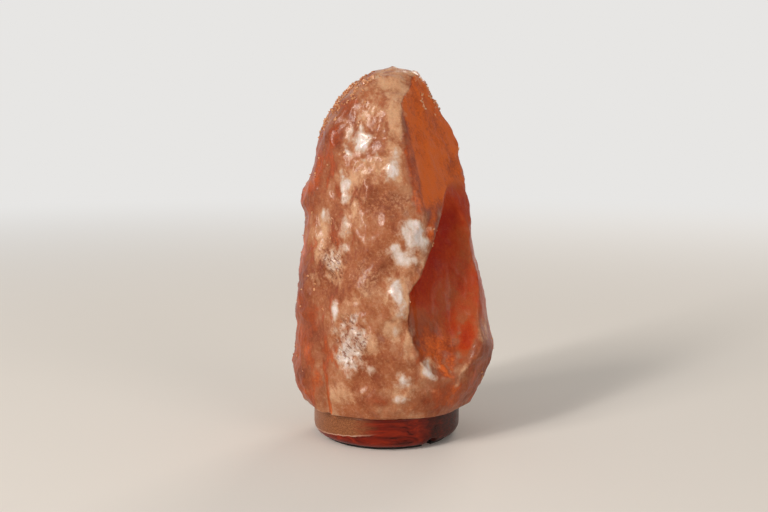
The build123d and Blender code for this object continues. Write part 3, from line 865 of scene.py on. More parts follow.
@dataclass(frozen=True)
class WoodFinish:
    """Varnished red heartwood with a pale edge of sapwood on one side."""

    name: str = "turned_wood_varnished"
    heart: str = "#6C1604"
    heart_bright: str = "#8E2608"
    heart_dark: str = "#380A02"
    sap: str = "#9A613C"
    sap_dark: str = "#6A3B22"
    line: str = "#C9A088"
    bark: str = "#241009"
    grain_scale: float = 26.0
    fibre_scale: float = 110.0
    streak_scale: float = 55.0
    sap_right_end: float = -18 * MM
    sap_foot: float = 8.5 * MM
    sap_low_point: float = -48 * MM
    sap_slope: float = 0.14
    sap_ripple: float = 3.0 * MM
    line_width: float = 0.7 * MM
    bark_start: float = 20 * MM
    bark_full: float = 42 * MM
    fibre_relief: float = 0.25 * MM
    tool_pitch: float = 1.1 * MM
    tool_relief: float = 0.10 * MM

    def _heartwood(self, sheet: NodeSheet, grain: Feed, fibre: Feed) -> Socket:
        """The red heartwood with its darker fibres.

        Args:
            sheet: The material's sheet.
            grain: The broad grain.
            fibre: The fine fibres.

        Returns:
            The colour.
        """
        colour = sheet.ramp(grain, ((0.30, self.heart_dark), (0.47, self.heart),
                                    (0.64, self.heart_bright)))
        return sheet.mix(sheet.span(fibre, 0.52, 0.72, 0.0, 0.55), colour, tone(self.heart_dark))

    def _sapwood(self, sheet: NodeSheet, at: Feed, colour: Feed, grain: Feed,
                 fibre: Feed) -> Socket:
        """Lay the pale sapwood, with the line at its edge, over the left of a colour.

        Args:
            sheet: The material's sheet.
            at: The point on the base.
            colour: The colour below.
            grain: The broad grain.
            fibre: The fine fibres.

        Returns:
            The new colour.
        """
        parts = sheet.split(at)
        tilt = sheet.times(sheet.minus(parts[0], self.sap_low_point), self.sap_slope)
        ripple = sheet.times(sheet.minus(grain, 0.5), self.sap_ripple)
        above = sheet.minus(sheet.minus(parts[2], self.sap_foot), sheet.plus(tilt, ripple))
        left = sheet.span(sheet.plus(parts[0], sheet.times(ripple, 6.0)),
                          self.sap_right_end + 14 * MM, self.sap_right_end - 12 * MM)
        sap = sheet.times(left, sheet.span(above, -0.4 * MM, 0.6 * MM))
        pale = sheet.ramp(fibre, ((0.34, self.sap_dark), (0.62, self.sap)))
        edge = sheet.times(left, sheet.span(sheet.work("ABSOLUTE", above), self.line_width,
                                            0.1 * MM))
        return sheet.mix(sheet.times(edge, 0.8), sheet.mix(sap, colour, pale), tone(self.line))

    def _bark(self, sheet: NodeSheet, at: Feed, colour: Feed) -> Socket:
        """Lay dark streaks of bark over the right of a colour.

        Args:
            sheet: The material's sheet.
            at: The point on the base.
            colour: The colour below.

        Returns:
            The new colour.
        """
        right = sheet.span(sheet.split(at)[0], self.bark_start, self.bark_full)
        streaks = sheet.noise(sheet.stretched(at, (3.0, 3.0, 26.0)), self.streak_scale, 6.0, 0.7,
                              1.6)
        bark = sheet.times(right, sheet.span(streaks, 0.34, 0.52, 0.25, 1.0))
        return sheet.mix(sheet.times(bark, 0.92), colour, tone(self.bark))

    def material(self) -> bpy.types.Material:
        """Write the wood's nodes.

        Returns:
            The material.
        """
        material, sheet = blank_material(self.name)
        at = sheet.place()
        grain = sheet.noise(sheet.stretched(at, (1.0, 7.0, 9.0)), self.grain_scale, 7.0, 0.62, 1.2)
        fibre = sheet.noise(sheet.stretched(at, (1.0, 12.0, 16.0)), self.fibre_scale, 4.0, 0.6,
                            0.3)
        colour = self._sapwood(sheet, at, self._heartwood(sheet, grain, fibre), grain, fibre)
        colour = self._bark(sheet, at, colour)
        wear = effect(sheet, EFFECTS.edge_wear, at, Amount=0.35)
        colour = sheet.mix(wear["Mask"], colour, tone(self.line))
        lines = effect(sheet, EFFECTS.tool_lines, at, Pitch=self.tool_pitch)
        relief = sheet.bump(fibre, self.fibre_relief, 0.35)
        relief = sheet.bump(lines["Height"], self.tool_relief, 0.35, relief)
        sheet.surface({
            "Base Color": colour, "Roughness": sheet.span(grain, 0.3, 0.7, 0.26, 0.44),
            "Normal": relief, "Specular IOR Level": 0.15, "Coat Weight": 0.14,
            "Coat Roughness": 0.12})
        return material


@dataclass(frozen=True)
class MetalFinish:
    """A bare metal, brushed or bright, a little uneven in colour."""

    name: str
    bright: str
    dull: str
    gloss: float = 0.25
    line_pitch: float = 0.35 * MM
    line_depth: float = 0.03 * MM
    grain_scale: float = 1400.0

    def material(self) -> bpy.types.Material:
        """Write the metal's nodes.

        Returns:
            The material.
        """
        material, sheet = blank_material(self.name)
        at = sheet.place()
        grain = effect(sheet, EFFECTS.grain, at, Scale=self.grain_scale)
        lines = effect(sheet, EFFECTS.tool_lines, at, Pitch=self.line_pitch)
        stain = sheet.span(grain["Cloud"], 0.36, 0.66)
        relief = sheet.bump(lines["Height"], self.line_depth, 0.6)
        relief = sheet.bump(grain["Height"], 0.02 * MM, 0.5, relief)
        sheet.surface({
            "Base Color": sheet.mix(stain, tone(self.dull), tone(self.bright)), "Metallic": 1.0,
            "Roughness": sheet.span(grain["Height"], 0.3, 0.7, self.gloss * 0.75,
                                    self.gloss * 1.35), "Normal": relief})
        return material


@dataclass(frozen=True)
class MouldedFinish:
    """Moulded plastic or rubber, with fine texture, dust and rubbed edges."""

    name: str
    body: str
    rubbed: str
    dust: str
    rough: float = 0.4
    texture: float = 0.05 * MM
    grain_scale: float = 1800.0
    dust_scale: float = 700.0

    def material(self) -> bpy.types.Material:
        """Write the moulding's nodes.

        Returns:
            The material.
        """
        material, sheet = blank_material(self.name)
        at = sheet.place()
        grain = effect(sheet, EFFECTS.grain, at, Scale=self.grain_scale)
        specks = effect(sheet, EFFECTS.speckle, at, Scale=self.dust_scale, Amount=0.3)
        wear = effect(sheet, EFFECTS.edge_wear, at, Amount=0.6)
        colour = sheet.mix(sheet.span(grain["Cloud"], 0.35, 0.7, 0.0, 0.6),
                           tone(self.body), tone(self.rubbed))
        colour = sheet.mix(sheet.times(specks["Mask"], 0.35), colour, tone(self.dust))
        colour = sheet.mix(wear["Mask"], colour, tone(self.rubbed))
        sheet.surface({
            "Base Color": colour,
            "Roughness": sheet.span(grain["Cloud"], 0.3, 0.7, self.rough * 0.8,
                                    self.rough * 1.25),
            "Normal": sheet.bump(grain["Height"], self.texture, 0.6)})
        return material


@dataclass(frozen=True)
class GlazedFinish:
    """Glazed porcelain or fused black glass."""

    name: str
    body: str
    cloudy: str
    gloss: float = 0.12
    grain_scale: float = 700.0

    def material(self) -> bpy.types.Material:
        """Write the glaze's nodes.

        Returns:
            The material.
        """
        material, sheet = blank_material(self.name)
        at = sheet.place()
        grain = effect(sheet, EFFECTS.grain, at, Scale=self.grain_scale)
        colour = sheet.mix(sheet.span(grain["Cloud"], 0.4, 0.7), tone(self.body),
                           tone(self.cloudy))
        sheet.surface({
            "Base Color": colour, "Roughness": sheet.span(grain["Height"], 0.3, 0.7,
                                                          self.gloss, self.gloss * 2),
            "Normal": sheet.bump(grain["Height"], 0.04 * MM, 0.4), "Coat Weight": 0.4})
        return material


@dataclass(frozen=True)
class GlassFinish:
    """Clear blown glass, very slightly wavy."""

    name: str = "clear_glass_blown"
    tint: str = "#FBFDFD"
    thick_tint: str = "#F2F7F6"
    wave_scale: float = 45.0
    wave_depth: float = 0.3 * MM
    refraction: float = 1.47

    def material(self) -> bpy.types.Material:
        """Write the glass's nodes.

        Returns:
            The material.
        """
        material, sheet = blank_material(self.name)
        at = sheet.place()
        wave = sheet.noise(at, self.wave_scale, 2.0)
        sheet.surface({
            "Base Color": sheet.mix(wave, tone(self.tint), tone(self.thick_tint)),
            "Roughness": 0.0, "IOR": self.refraction, "Transmission Weight": 1.0,
            "Normal": sheet.bump(wave, self.wave_depth, 0.25)})
        return material


FINISHES: dict[str, Finish] = {
    "zinc": MetalFinish("zinc_steel_brushed", "#C9CAC8", "#A2A4A6", 0.30),
    "spring": MetalFinish("spring_steel_bright", "#DADCDD", "#B9BCC0", 0.14, 0.5 * MM, 0.01 * MM),
    "brass": MetalFinish("brass_stamped", "#D9B26A", "#B98D45", 0.24),
    "solder": MetalFinish("solder_dull", "#B4B4B0", "#8E8E8C", 0.36),
    "aluminium": MetalFinish("cap_aluminium_rolled", "#DCDCD8", "#B8B8B6", 0.28, 0.3 * MM),
    "tungsten": MetalFinish("tungsten_wire", "#77777A", "#55555A", 0.4),
    "phenolic": MouldedFinish("black_plastic_moulded", "#121213", "#2A2A2C", "#6A655E", 0.36),
    "plug": MouldedFinish("plug_plastic_grey", "#8C8C88", "#A8A8A2", "#C0BAB0", 0.5),
    "rubber": MouldedFinish("rubber_pad_ribbed", "#1A1918", "#2E2C2A", "#5C554C", 0.82, 0.16 * MM),
    "porcelain": GlazedFinish("porcelain_glazed", "#ECE8DC", "#DAD4C4"),
    "black_glass": GlazedFinish("black_glass_fused", "#0C0C10", "#1A1A22", 0.06),
    "glass": GlassFinish(),
    "salt": SaltFinish(),
    "grains": GrainFinish(),
    "wood": WoodFinish(),
}


@cache
def finish(name: str) -> bpy.types.Material:
    """Give the material of a finish in FINISHES, made the first time it is asked for."""
    return FINISHES[name].material()


def paint(item: Item, name: str) -> Item:
    """Put one finish on a whole object.

    Args:
        item: The object.
        name: The finish's name.

    Returns:
        The same object.
    """
    item.data.materials.clear()
    item.data.materials.append(finish(name))
    return item


def dress_node(node: str, name: str) -> None:
    """Put a finish on a CAD node that stays, through its object's material slots.

    Args:
        node: The CAD node's name.
        name: The finish's name.
    """
    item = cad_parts[node]
    if not item.material_slots:
        item.data.materials.append(None)
    for slot in item.material_slots:
        slot.link = "OBJECT"
        slot.material = finish(name)
    log.info("%s: CAD node kept", node)


def dress_copy(node: str, name: str, body: str, slot: str, look: str, angle: float) -> None:
    """Seat a painted copy of a CAD node, sharp where it turns by more than an angle."""
    piece = paint(soften(joined_copy(node, name), angle), look)
    seat(piece, body, slot, node)


# ------------------------------------------------------------------ geometry trees
class GeometryTree:
    """A Geometry Nodes tree with named inputs, run once on an object."""

    KINDS = {float: "NodeSocketFloat", int: "NodeSocketInt", Item: "NodeSocketObject"}

    def __init__(self, name: str, inputs: dict[str, Union[float, int, type]]) -> None:
        """Open the tree.

        Args:
            name: The tree's name.
            inputs: Each input's default by its name, or its type where it has no default.
        """
        self.tree = bpy.data.node_groups.new(name, "GeometryNodeTree")
        self._socket("Geometry", "INPUT", "NodeSocketGeometry")
        for label, value in inputs.items():
            bare = isinstance(value, type)
            socket = self._socket(label, "INPUT", self.KINDS[value if bare else type(value)])
            if not bare:
                socket.default_value = value
        self._socket("Material", "INPUT", "NodeSocketMaterial")
        self._socket("Geometry", "OUTPUT", "NodeSocketGeometry")
        self.sheet = NodeSheet(self.tree)
        self.given = self.sheet.add("NodeGroupInput").outputs

    def _socket(self, name: str, way: str, kind: str) -> bpy.types.NodeTreeInterfaceSocket:
        """Add one named input or output to the tree."""
        return self.tree.interface.new_socket(name=name, in_out=way, socket_type=kind)

    def close(self, geometry: Socket) -> None:
        """End the tree in real mesh with its material.

        Args:
            geometry: What the tree has made.
        """
        real = self.sheet.get("GeometryNodeRealizeInstances", {"Geometry": geometry})
        dressed = self.sheet.get("GeometryNodeSetMaterial", {
            "Geometry": real, "Material": self.given["Material"]})
        self.sheet.add("NodeGroupOutput", {0: dressed})

    def run(self, item: Item, values: dict[str, object]) -> Item:
        """Run the tree on an object and leave plain mesh.

        Args:
            item: The object that carries the modifier.
            values: The tree's inputs by name.

        Returns:
            The same object, with its new mesh.
        """
        modifier = item.modifiers.new(self.tree.name, "NODES")
        modifier.node_group = self.tree
        for socket in self.tree.interface.items_tree:
            if socket.item_type == "SOCKET" and socket.in_out == "INPUT" and socket.name in values:
                modifier[socket.identifier] = values[socket.name]
        item.update_tag()
        return settle(item)


def thread_tree() -> GeometryTree:
    """A rolled thread: a sleeve whose radius rises and falls along a helix.

    Returns:
        The tree, ready to run.
    """
    made = GeometryTree("RolledThread", {
        "Foot": 0.0, "Top": 20 * MM, "Thread Foot": 0.0, "Thread Top": 20 * MM,
        "Plain Radius": 7 * MM, "Mean Radius": 6.5 * MM, "Depth": 0.4 * MM, "Pitch": 2.8 * MM,
        "Run Out": 0.8 * MM, "Rows": 60, "Steps": 73})
    sheet, given = made.sheet, made.given
    grid = sheet.get("GeometryNodeMeshGrid", {"Size X": 1.0, "Size Y": 1.0,
                                              "Vertices X": given["Steps"],
                                              "Vertices Y": given["Rows"]})
    parts = sheet.split(sheet.get("GeometryNodeInputPosition"))
    turn = sheet.times(sheet.plus(parts[0], 0.5), 2 * math.pi)
    height = sheet.span(parts[1], -0.5, 0.5, given["Foot"], given["Top"], "LINEAR")
    start = sheet.span(height, given["Thread Foot"],
                       sheet.plus(given["Thread Foot"], given["Run Out"]))
    end = sheet.span(height, sheet.minus(given["Thread Top"], given["Run Out"]),
                     given["Thread Top"], 1.0, 0.0)
    inside = sheet.times(start, end)
    phase = sheet.minus(sheet.times(sheet.over(height, given["Pitch"]), 2 * math.pi), turn)
    wave = sheet.times(sheet.work("COSINE", phase), given["Depth"])
    threaded = sheet.plus(given["Mean Radius"], wave)
    change = sheet.times(sheet.minus(threaded, given["Plain Radius"]), inside)
    radius = sheet.plus(given["Plain Radius"], change)
    spot = sheet.point(sheet.times(radius, sheet.work("COSINE", turn)),
                       sheet.times(radius, sheet.work("SINE", turn)), height)
    shaped = sheet.get("GeometryNodeSetPosition", {"Geometry": grid, "Position": spot})
    closed = sheet.get("GeometryNodeMergeByDistance", {"Geometry": shaped,
                                                       "Distance": THREAD_JOIN})
    made.close(closed)
    return made


def grains_tree() -> GeometryTree:
    """Small cubic crystals scattered where the mesh's grit value allows.

    Returns:
        The tree, ready to run.
    """
    made = GeometryTree("ClingingCrystals", {
        "Density": 1.0e6, "Smallest": 0.5 * MM, "Largest": 1.5 * MM, "Spin": 6.283, "Seed": 7})
    sheet, given = made.sheet, made.given
    grit = sheet.get("GeometryNodeInputNamedAttribute", {"Name": "grit"}, data_type="FLOAT")
    density = sheet.times(grit, given["Density"])
    points = sheet.add("GeometryNodeDistributePointsOnFaces", {
        "Mesh": given["Geometry"], "Density": density, "Seed": given["Seed"]})
    cube = sheet.get("GeometryNodeMeshCube", {"Size": (1.0, 1.0, 1.0)})
    spin = sheet.get("FunctionNodeRandomValue", {
        "Max": sheet.even(given["Spin"]), "Seed": given["Seed"]}, data_type="FLOAT_VECTOR")
    size = sheet.get("FunctionNodeRandomValue", {
        "Min": sheet.even(given["Smallest"]), "Max": sheet.even(given["Largest"])},
                     data_type="FLOAT_VECTOR")
    placed = sheet.get("GeometryNodeInstanceOnPoints", {
        "Points": points.outputs["Points"], "Instance": cube, "Rotation": spin,
        "Scale": size})
    made.close(placed)
    return made


def fastener_tree() -> GeometryTree:
    """One fastener repeated on a circle about the lamp's axis.

    Returns:
        The tree, ready to run.
    """
    made = GeometryTree("FastenersOnCircle", {
        "Fastener": Item, "Count": 3, "Circle Radius": 35 * MM,
        "First Angle": 0.0, "Angle Step": math.radians(90), "Spin Step": 1.1})
    sheet, given = made.sheet, made.given
    index = sheet.get("GeometryNodeInputIndex")
    angle = sheet.plus(given["First Angle"], sheet.times(index, given["Angle Step"]))
    spot = sheet.point(sheet.times(given["Circle Radius"], sheet.work("COSINE", angle)),
                       sheet.times(given["Circle Radius"], sheet.work("SINE", angle)), 0.0)
    points = sheet.get("GeometryNodePoints", {"Count": given["Count"], "Position": spot})
    part = sheet.add("GeometryNodeObjectInfo", {"Object": given["Fastener"]}).outputs["Geometry"]
    spin = sheet.point(0.0, 0.0, sheet.times(index, given["Spin Step"]))
    made.close(sheet.get("GeometryNodeInstanceOnPoints", {
        "Points": points, "Instance": part, "Rotation": spin}))
    return made


def filament_tree() -> GeometryTree:
    """A fine wire coiled along an arch.

    Returns:
        The tree, ready to run.
    """
    made = GeometryTree("CoiledWire", {
        "Half Span": 7 * MM, "Foot": 70 * MM, "Rise": 4 * MM, "Coil Radius": 0.2 * MM,
        "Wire Radius": 0.06 * MM, "Turns": 34.0, "Points": 340})
    sheet, given = made.sheet, made.given
    line = sheet.get("GeometryNodeMeshLine", {"Count": given["Points"]})
    index = sheet.get("GeometryNodeInputIndex")
    share = sheet.over(index, sheet.minus(given["Points"], 1.0))
    along = sheet.span(share, 0.0, 1.0, -1.0, 1.0, "LINEAR")
    coil = sheet.times(sheet.times(share, given["Turns"]), 2 * math.pi)
    arch = sheet.times(sheet.minus(1.0, sheet.times(along, along)), given["Rise"])
    height = sheet.plus(sheet.plus(given["Foot"], arch),
                        sheet.times(sheet.work("COSINE", coil), given["Coil Radius"]))
    spot = sheet.point(sheet.times(along, given["Half Span"]),
                       sheet.times(sheet.work("SINE", coil), given["Coil Radius"]), height)
    bent = sheet.get("GeometryNodeSetPosition", {"Geometry": line, "Position": spot})
    curve = sheet.get("GeometryNodeMeshToCurve", {"Mesh": bent})
    ring = sheet.add("GeometryNodeCurvePrimitiveCircle", {
        "Resolution": 5, "Radius": given["Wire Radius"]}).outputs["Curve"]
    made.close(sheet.get("GeometryNodeCurveToMesh", {
        "Curve": curve, "Profile Curve": ring, "Fill Caps": True}))
    return made


# ------------------------------------------------------------------ the salt
@dataclass(frozen=True)
class Skin:
    """A mesh's points in metres and their normals, one row for each point."""

    spots: np.ndarray
    normals: np.ndarray

    @classmethod
    def of(cls, item: Item) -> "Skin":
        """Read an object's skin.

        Args:
            item: The object.

        Returns:
            The skin.
        """
        count = len(item.data.vertices) * 3
        spots, normals = np.empty(count), np.empty(count)
        item.data.vertices.foreach_get("co", spots)
        item.data.vertex_normals.foreach_get("vector", normals)
        return cls(spots.reshape(-1, 3), normals.reshape(-1, 3))

    @property
    def x(self) -> np.ndarray:
        """How far each point lies to the right, in millimetres."""
        return self.spots[:, 0] / MM

    @property
    def z(self) -> np.ndarray:
        """Each point's height in millimetres."""
        return self.spots[:, 2] / MM

    @property
    def ahead(self) -> np.ndarray:
        """How far each point faces the front, from -1 to 1."""
        return -self.normals[:, 1]


def sample(spots: np.ndarray, size: float, law: Callable[[Vector], float]) -> np.ndarray:
    """Sample a noise, whose features have a size in metres, at every point."""
    return np.array([law(Vector(spot)) for spot in spots / size])


def store(item: Item, name: str, values: np.ndarray) -> None:
    """Store one value from 0 to 1 for each of an object's points, under a name."""
    kept = item.data.attributes.new(name, "FLOAT", "POINT").data
    kept.foreach_set("value", np.clip(values, 0.0, 1.0).astype(np.float32))


def edge_at(line: Outline, z: np.ndarray) -> np.ndarray:
    """Where an edge of (x, z) points, listed from its foot upward, lies at each height."""
    return np.interp(z, [height for _, height in line], [across for across, _ in line])


@dataclass(frozen=True)
class Patch:
    """A patch of one tint on the salt, seen from the front or the back; sizes in millimetres."""

    tint: Tint
    x: float
    z: float
    half_width: float
    half_height: float
    strength: float = 1.0
    lean: float = 0.0
    front: bool = True

    def share(self, skin: Skin) -> np.ndarray:
        """How strongly each point belongs to the patch.

        Args:
            skin: The salt's points.

        Returns:
            One number for each point: highest at the middle, falling below 0 outside.
        """
        turn = math.radians(self.lean)
        across, along = skin.x - self.x, skin.z - self.z
        u = (across * math.cos(turn) + along * math.sin(turn)) / self.half_width
        v = (along * math.cos(turn) - across * math.sin(turn)) / self.half_height
        return 1.35 - np.hypot(u, v)


def patches(tint: Tint, *rows: tuple[float, ...]) -> list[Patch]:
    """Make patches of one tint from rows of their other values, in a patch's own order."""
    return [Patch(tint, *row) for row in rows]


@dataclass(frozen=True)
class Shoulder:
    """One shoulder of the crest, where small crystals cling; in millimetres."""

    side: int
    off_axis: tuple[float, float]
    foot: tuple[float, float]
    head: tuple[float, float]
    strength: float

    def share(self, skin: Skin) -> np.ndarray:
        """How thickly crystals cling at each point."""
        return (ease(self.side * skin.x, *self.off_axis) * ease(skin.z, *self.foot)
                * fade(skin.z, *self.head) * self.strength)


@dataclass
class CrystalBlock:
    """The hewn block of rock salt: its broken surface, its tints and its clinging crystals."""

    voxel: float = 1.38 * MM
    easing: float = 0.6
    smoothing: int = 5
    wander_size: float = 22 * MM
    wander_reach: float = 4 * MM
    swell_size: float = 26 * MM
    swell_height: float = 0.8 * MM
    chip_size: float = 15 * MM
    chip_depth: float = 1.2 * MM
    nick_size: float = 6 * MM
    nick_depth: float = 1.0 * MM
    ridge_size: float = 19 * MM
    ridge_height: float = 1.5 * MM
    step_pitch: float = 3.4 * MM
    step_height: float = 1.3 * MM
    knob_height: float = 1.3 * MM
    pit_size: float = 4.2 * MM
    pit_depth: float = 1.0 * MM
    bottom: float = 27 * MM
    bottom_edge: float = 0.2 * MM
    bottom_band: float = 3 * MM
    cavity_radius: float = 27 * MM
    cavity_top: float = 124 * MM
    plug_hole_reach: float = 45 * MM
    plug_hole_top: float = 65 * MM
    ragged_size: float = 8 * MM
    broad_size: float = 30 * MM
    sharp_angle: float = 50.0
    grain_density: float = 3.2e5
    grain_small: float = 0.6 * MM
    grain_large: float = 2.1 * MM
    seed: int = 11
    clean_outward: tuple[float, float, float] = (0.74, -0.60, 0.30)
    # From here on, places on the face are in millimetres, as in the patches.
    clean_left: tuple[tuple[float, float], ...] = ((27.0, 186.0), (25.0, 205.0), (22.0, 218.0),
                                                   (17.0, 241.0), (11.0, 262.0), (9.0, 280.0))
    ledge: tuple[tuple[float, float], ...] = ((31.0, 64.0), (24.0, 80.0), (17.5, 101.0),
                                              (17.5, 124.0), (26.6, 139.0), (34.0, 155.6),
                                              (40.7, 176.8), (44.3, 195.6), (47.0, 204.0))
    clean_foot: tuple[float, float] = (176.0, 196.0)
    right_top_foot: tuple[float, float] = (190.0, 215.0)
    right_top_edge: tuple[float, float] = (20.0, 32.0)
    hollow_foot: tuple[float, float] = (50.0, 92.0)
    hollow_head: tuple[float, float] = (178.0, 214.0)
    ledge_foot: tuple[float, float] = (80.0, 124.0)
    red_foot: tuple[float, float] = (78.0, 116.0)
    # Where the painted shade of the ledge lies in the hollow.
    ledge_shade_foot: tuple[float, float] = (104.0, 130.0)
    ledge_shade_reach: tuple[float, float] = (6.0, 36.0)
    shoulders: tuple[Shoulder, ...] = (
        Shoulder(-1, (2, 12), (236, 248), (282, 291), 1.0),
        Shoulder(1, (12, 22), (255, 266), (284, 292), 0.6))
    grains_foot: tuple[float, float] = (40.0, 60.0)
    grains_share: float = 0.010
    grains_share_rim: float = 0.05
    striae: Patch = Patch(Tint.CREAM, -41, 146, 12, 18, 1.0)
    pitting: Patch = Patch(Tint.FROST, -27, 87, 14, 22, 0.9)
    patches: list[Patch] = field(default_factory=lambda: [
        # Frosty patches, which also carry painted highlights.
        *patches(
            Tint.FROST,
            (-32, 199, 5, 14, 1.15), (-19, 238, 9, 15, 1.0, 30), (-29, 229, 6, 3, 0.9, -60),
            (5, 218, 5, 13, 1.0, -16), (19, 167, 11, 16, 1.15, -12), (12, 153, 13, 8, 1.05, -30),
            (28, 160, 6, 9, 0.75), (7, 124, 6, 16, 1.15, 15), (-39.5, 110, 3.5, 11, 1.0),
            (12, 60, 7, 6.5, 1.0, 20), (32, 65, 4, 9, 0.95, 35), (-11, 66, 4, 5, 0.8),
            (-28, 61, 4, 5, 0.8), (-33, 172, 6, 12, 0.55), (-46, 180, 6, 6, 0.65),
            (-42, 146, 9, 12, 0.8, -20), (-33, 157, 5, 6, 0.7), (7, 96, 5, 5, 0.6),
            (10, 44, 7, 4, 0.6)),
        *patches(
            Tint.CREAM,
            (5, 258, 9, 42, 0.85, -4), (6, 281, 18, 15, 1.2), (-10, 256, 17, 14, 0.3),
            (7, 228, 5, 26, 0.7, 4), (-17, 213, 17, 13, 0.55), (-26, 195, 9, 16, 0.9),
            (-46, 176, 9, 9, 0.8), (-34, 168, 8, 12, 0.6), (-50, 152, 8, 24, 0.7, -8),
            (-22, 121, 12, 9, 0.5), (18, 150, 18, 22, 0.6, -20), (8, 126, 13, 24, 0.8, 10),
            (6, 99, 9, 12, 1.0), (17, 88, 5, 24, 0.85), (31, 67, 8, 8, 0.8),
            (-12, 84, 12, 14, 0.7), (-30, 46, 20, 9, 0.55), (14, 50, 22, 7, 0.45),
            (66, 128, 5, 10, 1.2, 14), (76, 92, 6, 12, 1.2, 8), (62, 104, 5, 5, 0.7),
            (59, 62, 3, 15, 0.6, -30), (-77, 96, 6, 14, 1.0, -8), (-74, 150, 5, 12, 1.0, -8)),
        *patches(
            Tint.SPECKLE,
            (-2, 190, 24, 11, 1.0), (-14, 140, 16, 22, 0.7, -12)),
        *patches(
            Tint.WARM,
            (-30, 262, 9, 12, 0.45, -40), (-41, 241, 8, 18, 0.55, -24),
            (-56, 208, 10, 30, 0.5, -8), (19, 222, 6, 32, 0.6, 10), (25, 192, 7, 14, 0.5),
            (-10, 44, 20, 7, 0.35), (34, 176, 5, 24, 0.8, -14), (55, 178, 14, 40, 0.8),
            # The weak warm patch at (70, 74) is painted shade at the lower right.
            (40, 84, 22, 30, 0.7), (50, 44, 30, 20, 0.45), (70, 74, 16, 38, 0.35),
            (-62, 92, 13, 40, 0.45, -6), (-58, 52, 14, 16, 0.4)),
        # Spots of painted shade on the red of the hollow.
        *patches(
            Tint.DEEP,
            (50, 98, 9, 14, 0.55), (62, 86, 7, 18, 0.6, -14), (56, 128, 4, 9, 0.5, 10)),
    ])

    def build(self) -> Item:
        """Make the block's mesh from the CAD solid, with its broken surface.

        Returns:
            The block.
        """
        block = regrid(joined_copy("salt_crystal", "salt_block"), self.voxel, self.easing,
                       self.smoothing)
        self._break_surface(block)
        return block

    def _hewn_share(self, skin: Skin) -> np.ndarray:
        """1 on the hewn surface, 0 on the sawn bottom and in the drilled holes.

        Args:
            skin: The block's points.

        Returns:
            One number for each point.
        """
        radius, height = np.hypot(skin.spots[:, 0], skin.spots[:, 1]), skin.spots[:, 2]
        drilled = (radius < self.cavity_radius) & (height < self.cavity_top)
        plug_hole = (radius < self.plug_hole_reach) & (height < self.plug_hole_top)
        share = ease(height, self.bottom + self.bottom_edge, self.bottom + self.bottom_band)
        return np.where(drilled | plug_hole, 0.0, share)

    def _clean_face(self, skin: Skin) -> np.ndarray:
        """1 on the clean face at the upper right, told by the way that it faces."""
        outward = np.array(self.clean_outward) / np.linalg.norm(self.clean_outward)
        return ease(skin.normals @ outward, 0.90, 0.97) * ease(skin.z, *self.clean_foot)

    def _coloured_face(self, skin: Skin) -> np.ndarray:
        """1 on the saturated part of the clean face, which starts some way off its left edge."""
        return self._clean_face(skin) * ease(skin.x - edge_at(self.clean_left, skin.z), -3.5, 3.0)

    def _past_ledge(self, skin: Skin) -> np.ndarray:
        """How far each point lies to the right of the ledge's edge, in millimetres."""
        return skin.x - edge_at(self.ledge, skin.z)

    def _hollow(self, skin: Skin) -> np.ndarray:
        """1 in the hollow to the right of the ledge's edge, seen from the front.

        Below the ledge's foot the hollow has no edge of its own and fades out.

        Args:
            skin: The block's points.

        Returns:
            One number for each point.
        """
        blur = 0.8 + 9.0 * fade(skin.z, *self.ledge_foot)
        across = np.clip(self._past_ledge(skin) / blur, -1.0, 1.0)
        inside = ease(across, -0.8, 1.0) * ease(skin.z, *self.hollow_foot)
        return inside * fade(skin.z, *self.hollow_head) * ease(skin.ahead, -0.1, 0.2)

    def _ledge_shade(self, skin: Skin) -> np.ndarray:
        """1 next to the ledge's edge, where the painted shade in the hollow is darkest."""
        beside = fade(self._past_ledge(skin), *self.ledge_shade_reach)
        return beside * ease(skin.z, *self.ledge_shade_foot)

    def _calm(self, skin: Skin) -> np.ndarray:
        """1 where the salt split cleanly: the upper right face and the hollow below the ledge."""
        return np.maximum(self._clean_face(skin), self._hollow(skin))

    def _break_surface(self, block: Item) -> None:
        """Move the points in and out as the salt breaks: dished chips, nicks, steps and pits.

        Args:
            block: The block.
        """
        skin = Skin.of(block)
        spots = skin.spots
        wander = np.stack([sample(spots + shift, self.wander_size, noise.noise)
                           for shift in (0.0, 0.31, 0.67)], axis=1) * self.wander_reach
        bent = spots + wander
        swell = sample(spots, self.swell_size, lambda p: noise.fractal(p, 0.9, 2.1, 3))
        dish = sample(bent, self.chip_size, lambda p: noise.voronoi(p)[0][0] ** 2)
        nick = sample(bent, self.nick_size, lambda p: noise.voronoi(p)[0][0] ** 2)
        rugged = 1 - 0.5 * self._calm(skin)
        height = self.swell_height * swell + self.chip_depth * (dish - 0.3) * rugged
        height += self.nick_depth * (nick - 0.3) * ease(swell, -0.6, 0.4) * rugged
        ridge = sample(bent, self.ridge_size, lambda p: noise.ridged_multi_fractal(
            p, 1.0, 2.2, 3, 1.0, 2.0))
        height += self.ridge_height * (np.clip(ridge, 0.0, 2.4) / 1.2 - 1.0) * rugged
        facing = ease(skin.ahead, 0.1, 0.5)
        for patch in self.patches:
            if patch.tint is Tint.FROST:
                height += self.knob_height * ease(patch.share(skin), 0.1, 1.35) * facing
        striped = ease(self.striae.share(skin), 0.2, 0.8) * facing
        slant = (spots[:, 0] * 0.5 + spots[:, 2] * 0.87 + bent[:, 0] * 0.4) / self.step_pitch
        height += self.step_height * striped * (np.mod(slant, 1.0) - 0.6)
        pitted = ease(self.pitting.share(skin), 0.2, 0.9) * facing
        pit = sample(bent, self.pit_size, lambda p: noise.voronoi(p)[0][0])
        height -= self.pit_depth * pitted * fade(pit, 0.2, 0.42)
        moved = spots + skin.normals * (height * self._hewn_share(skin))[:, None]
        moved[:, 2] = np.maximum(moved[:, 2], self.bottom)
        block.data.vertices.foreach_set("co", moved.ravel())
        block.data.update()

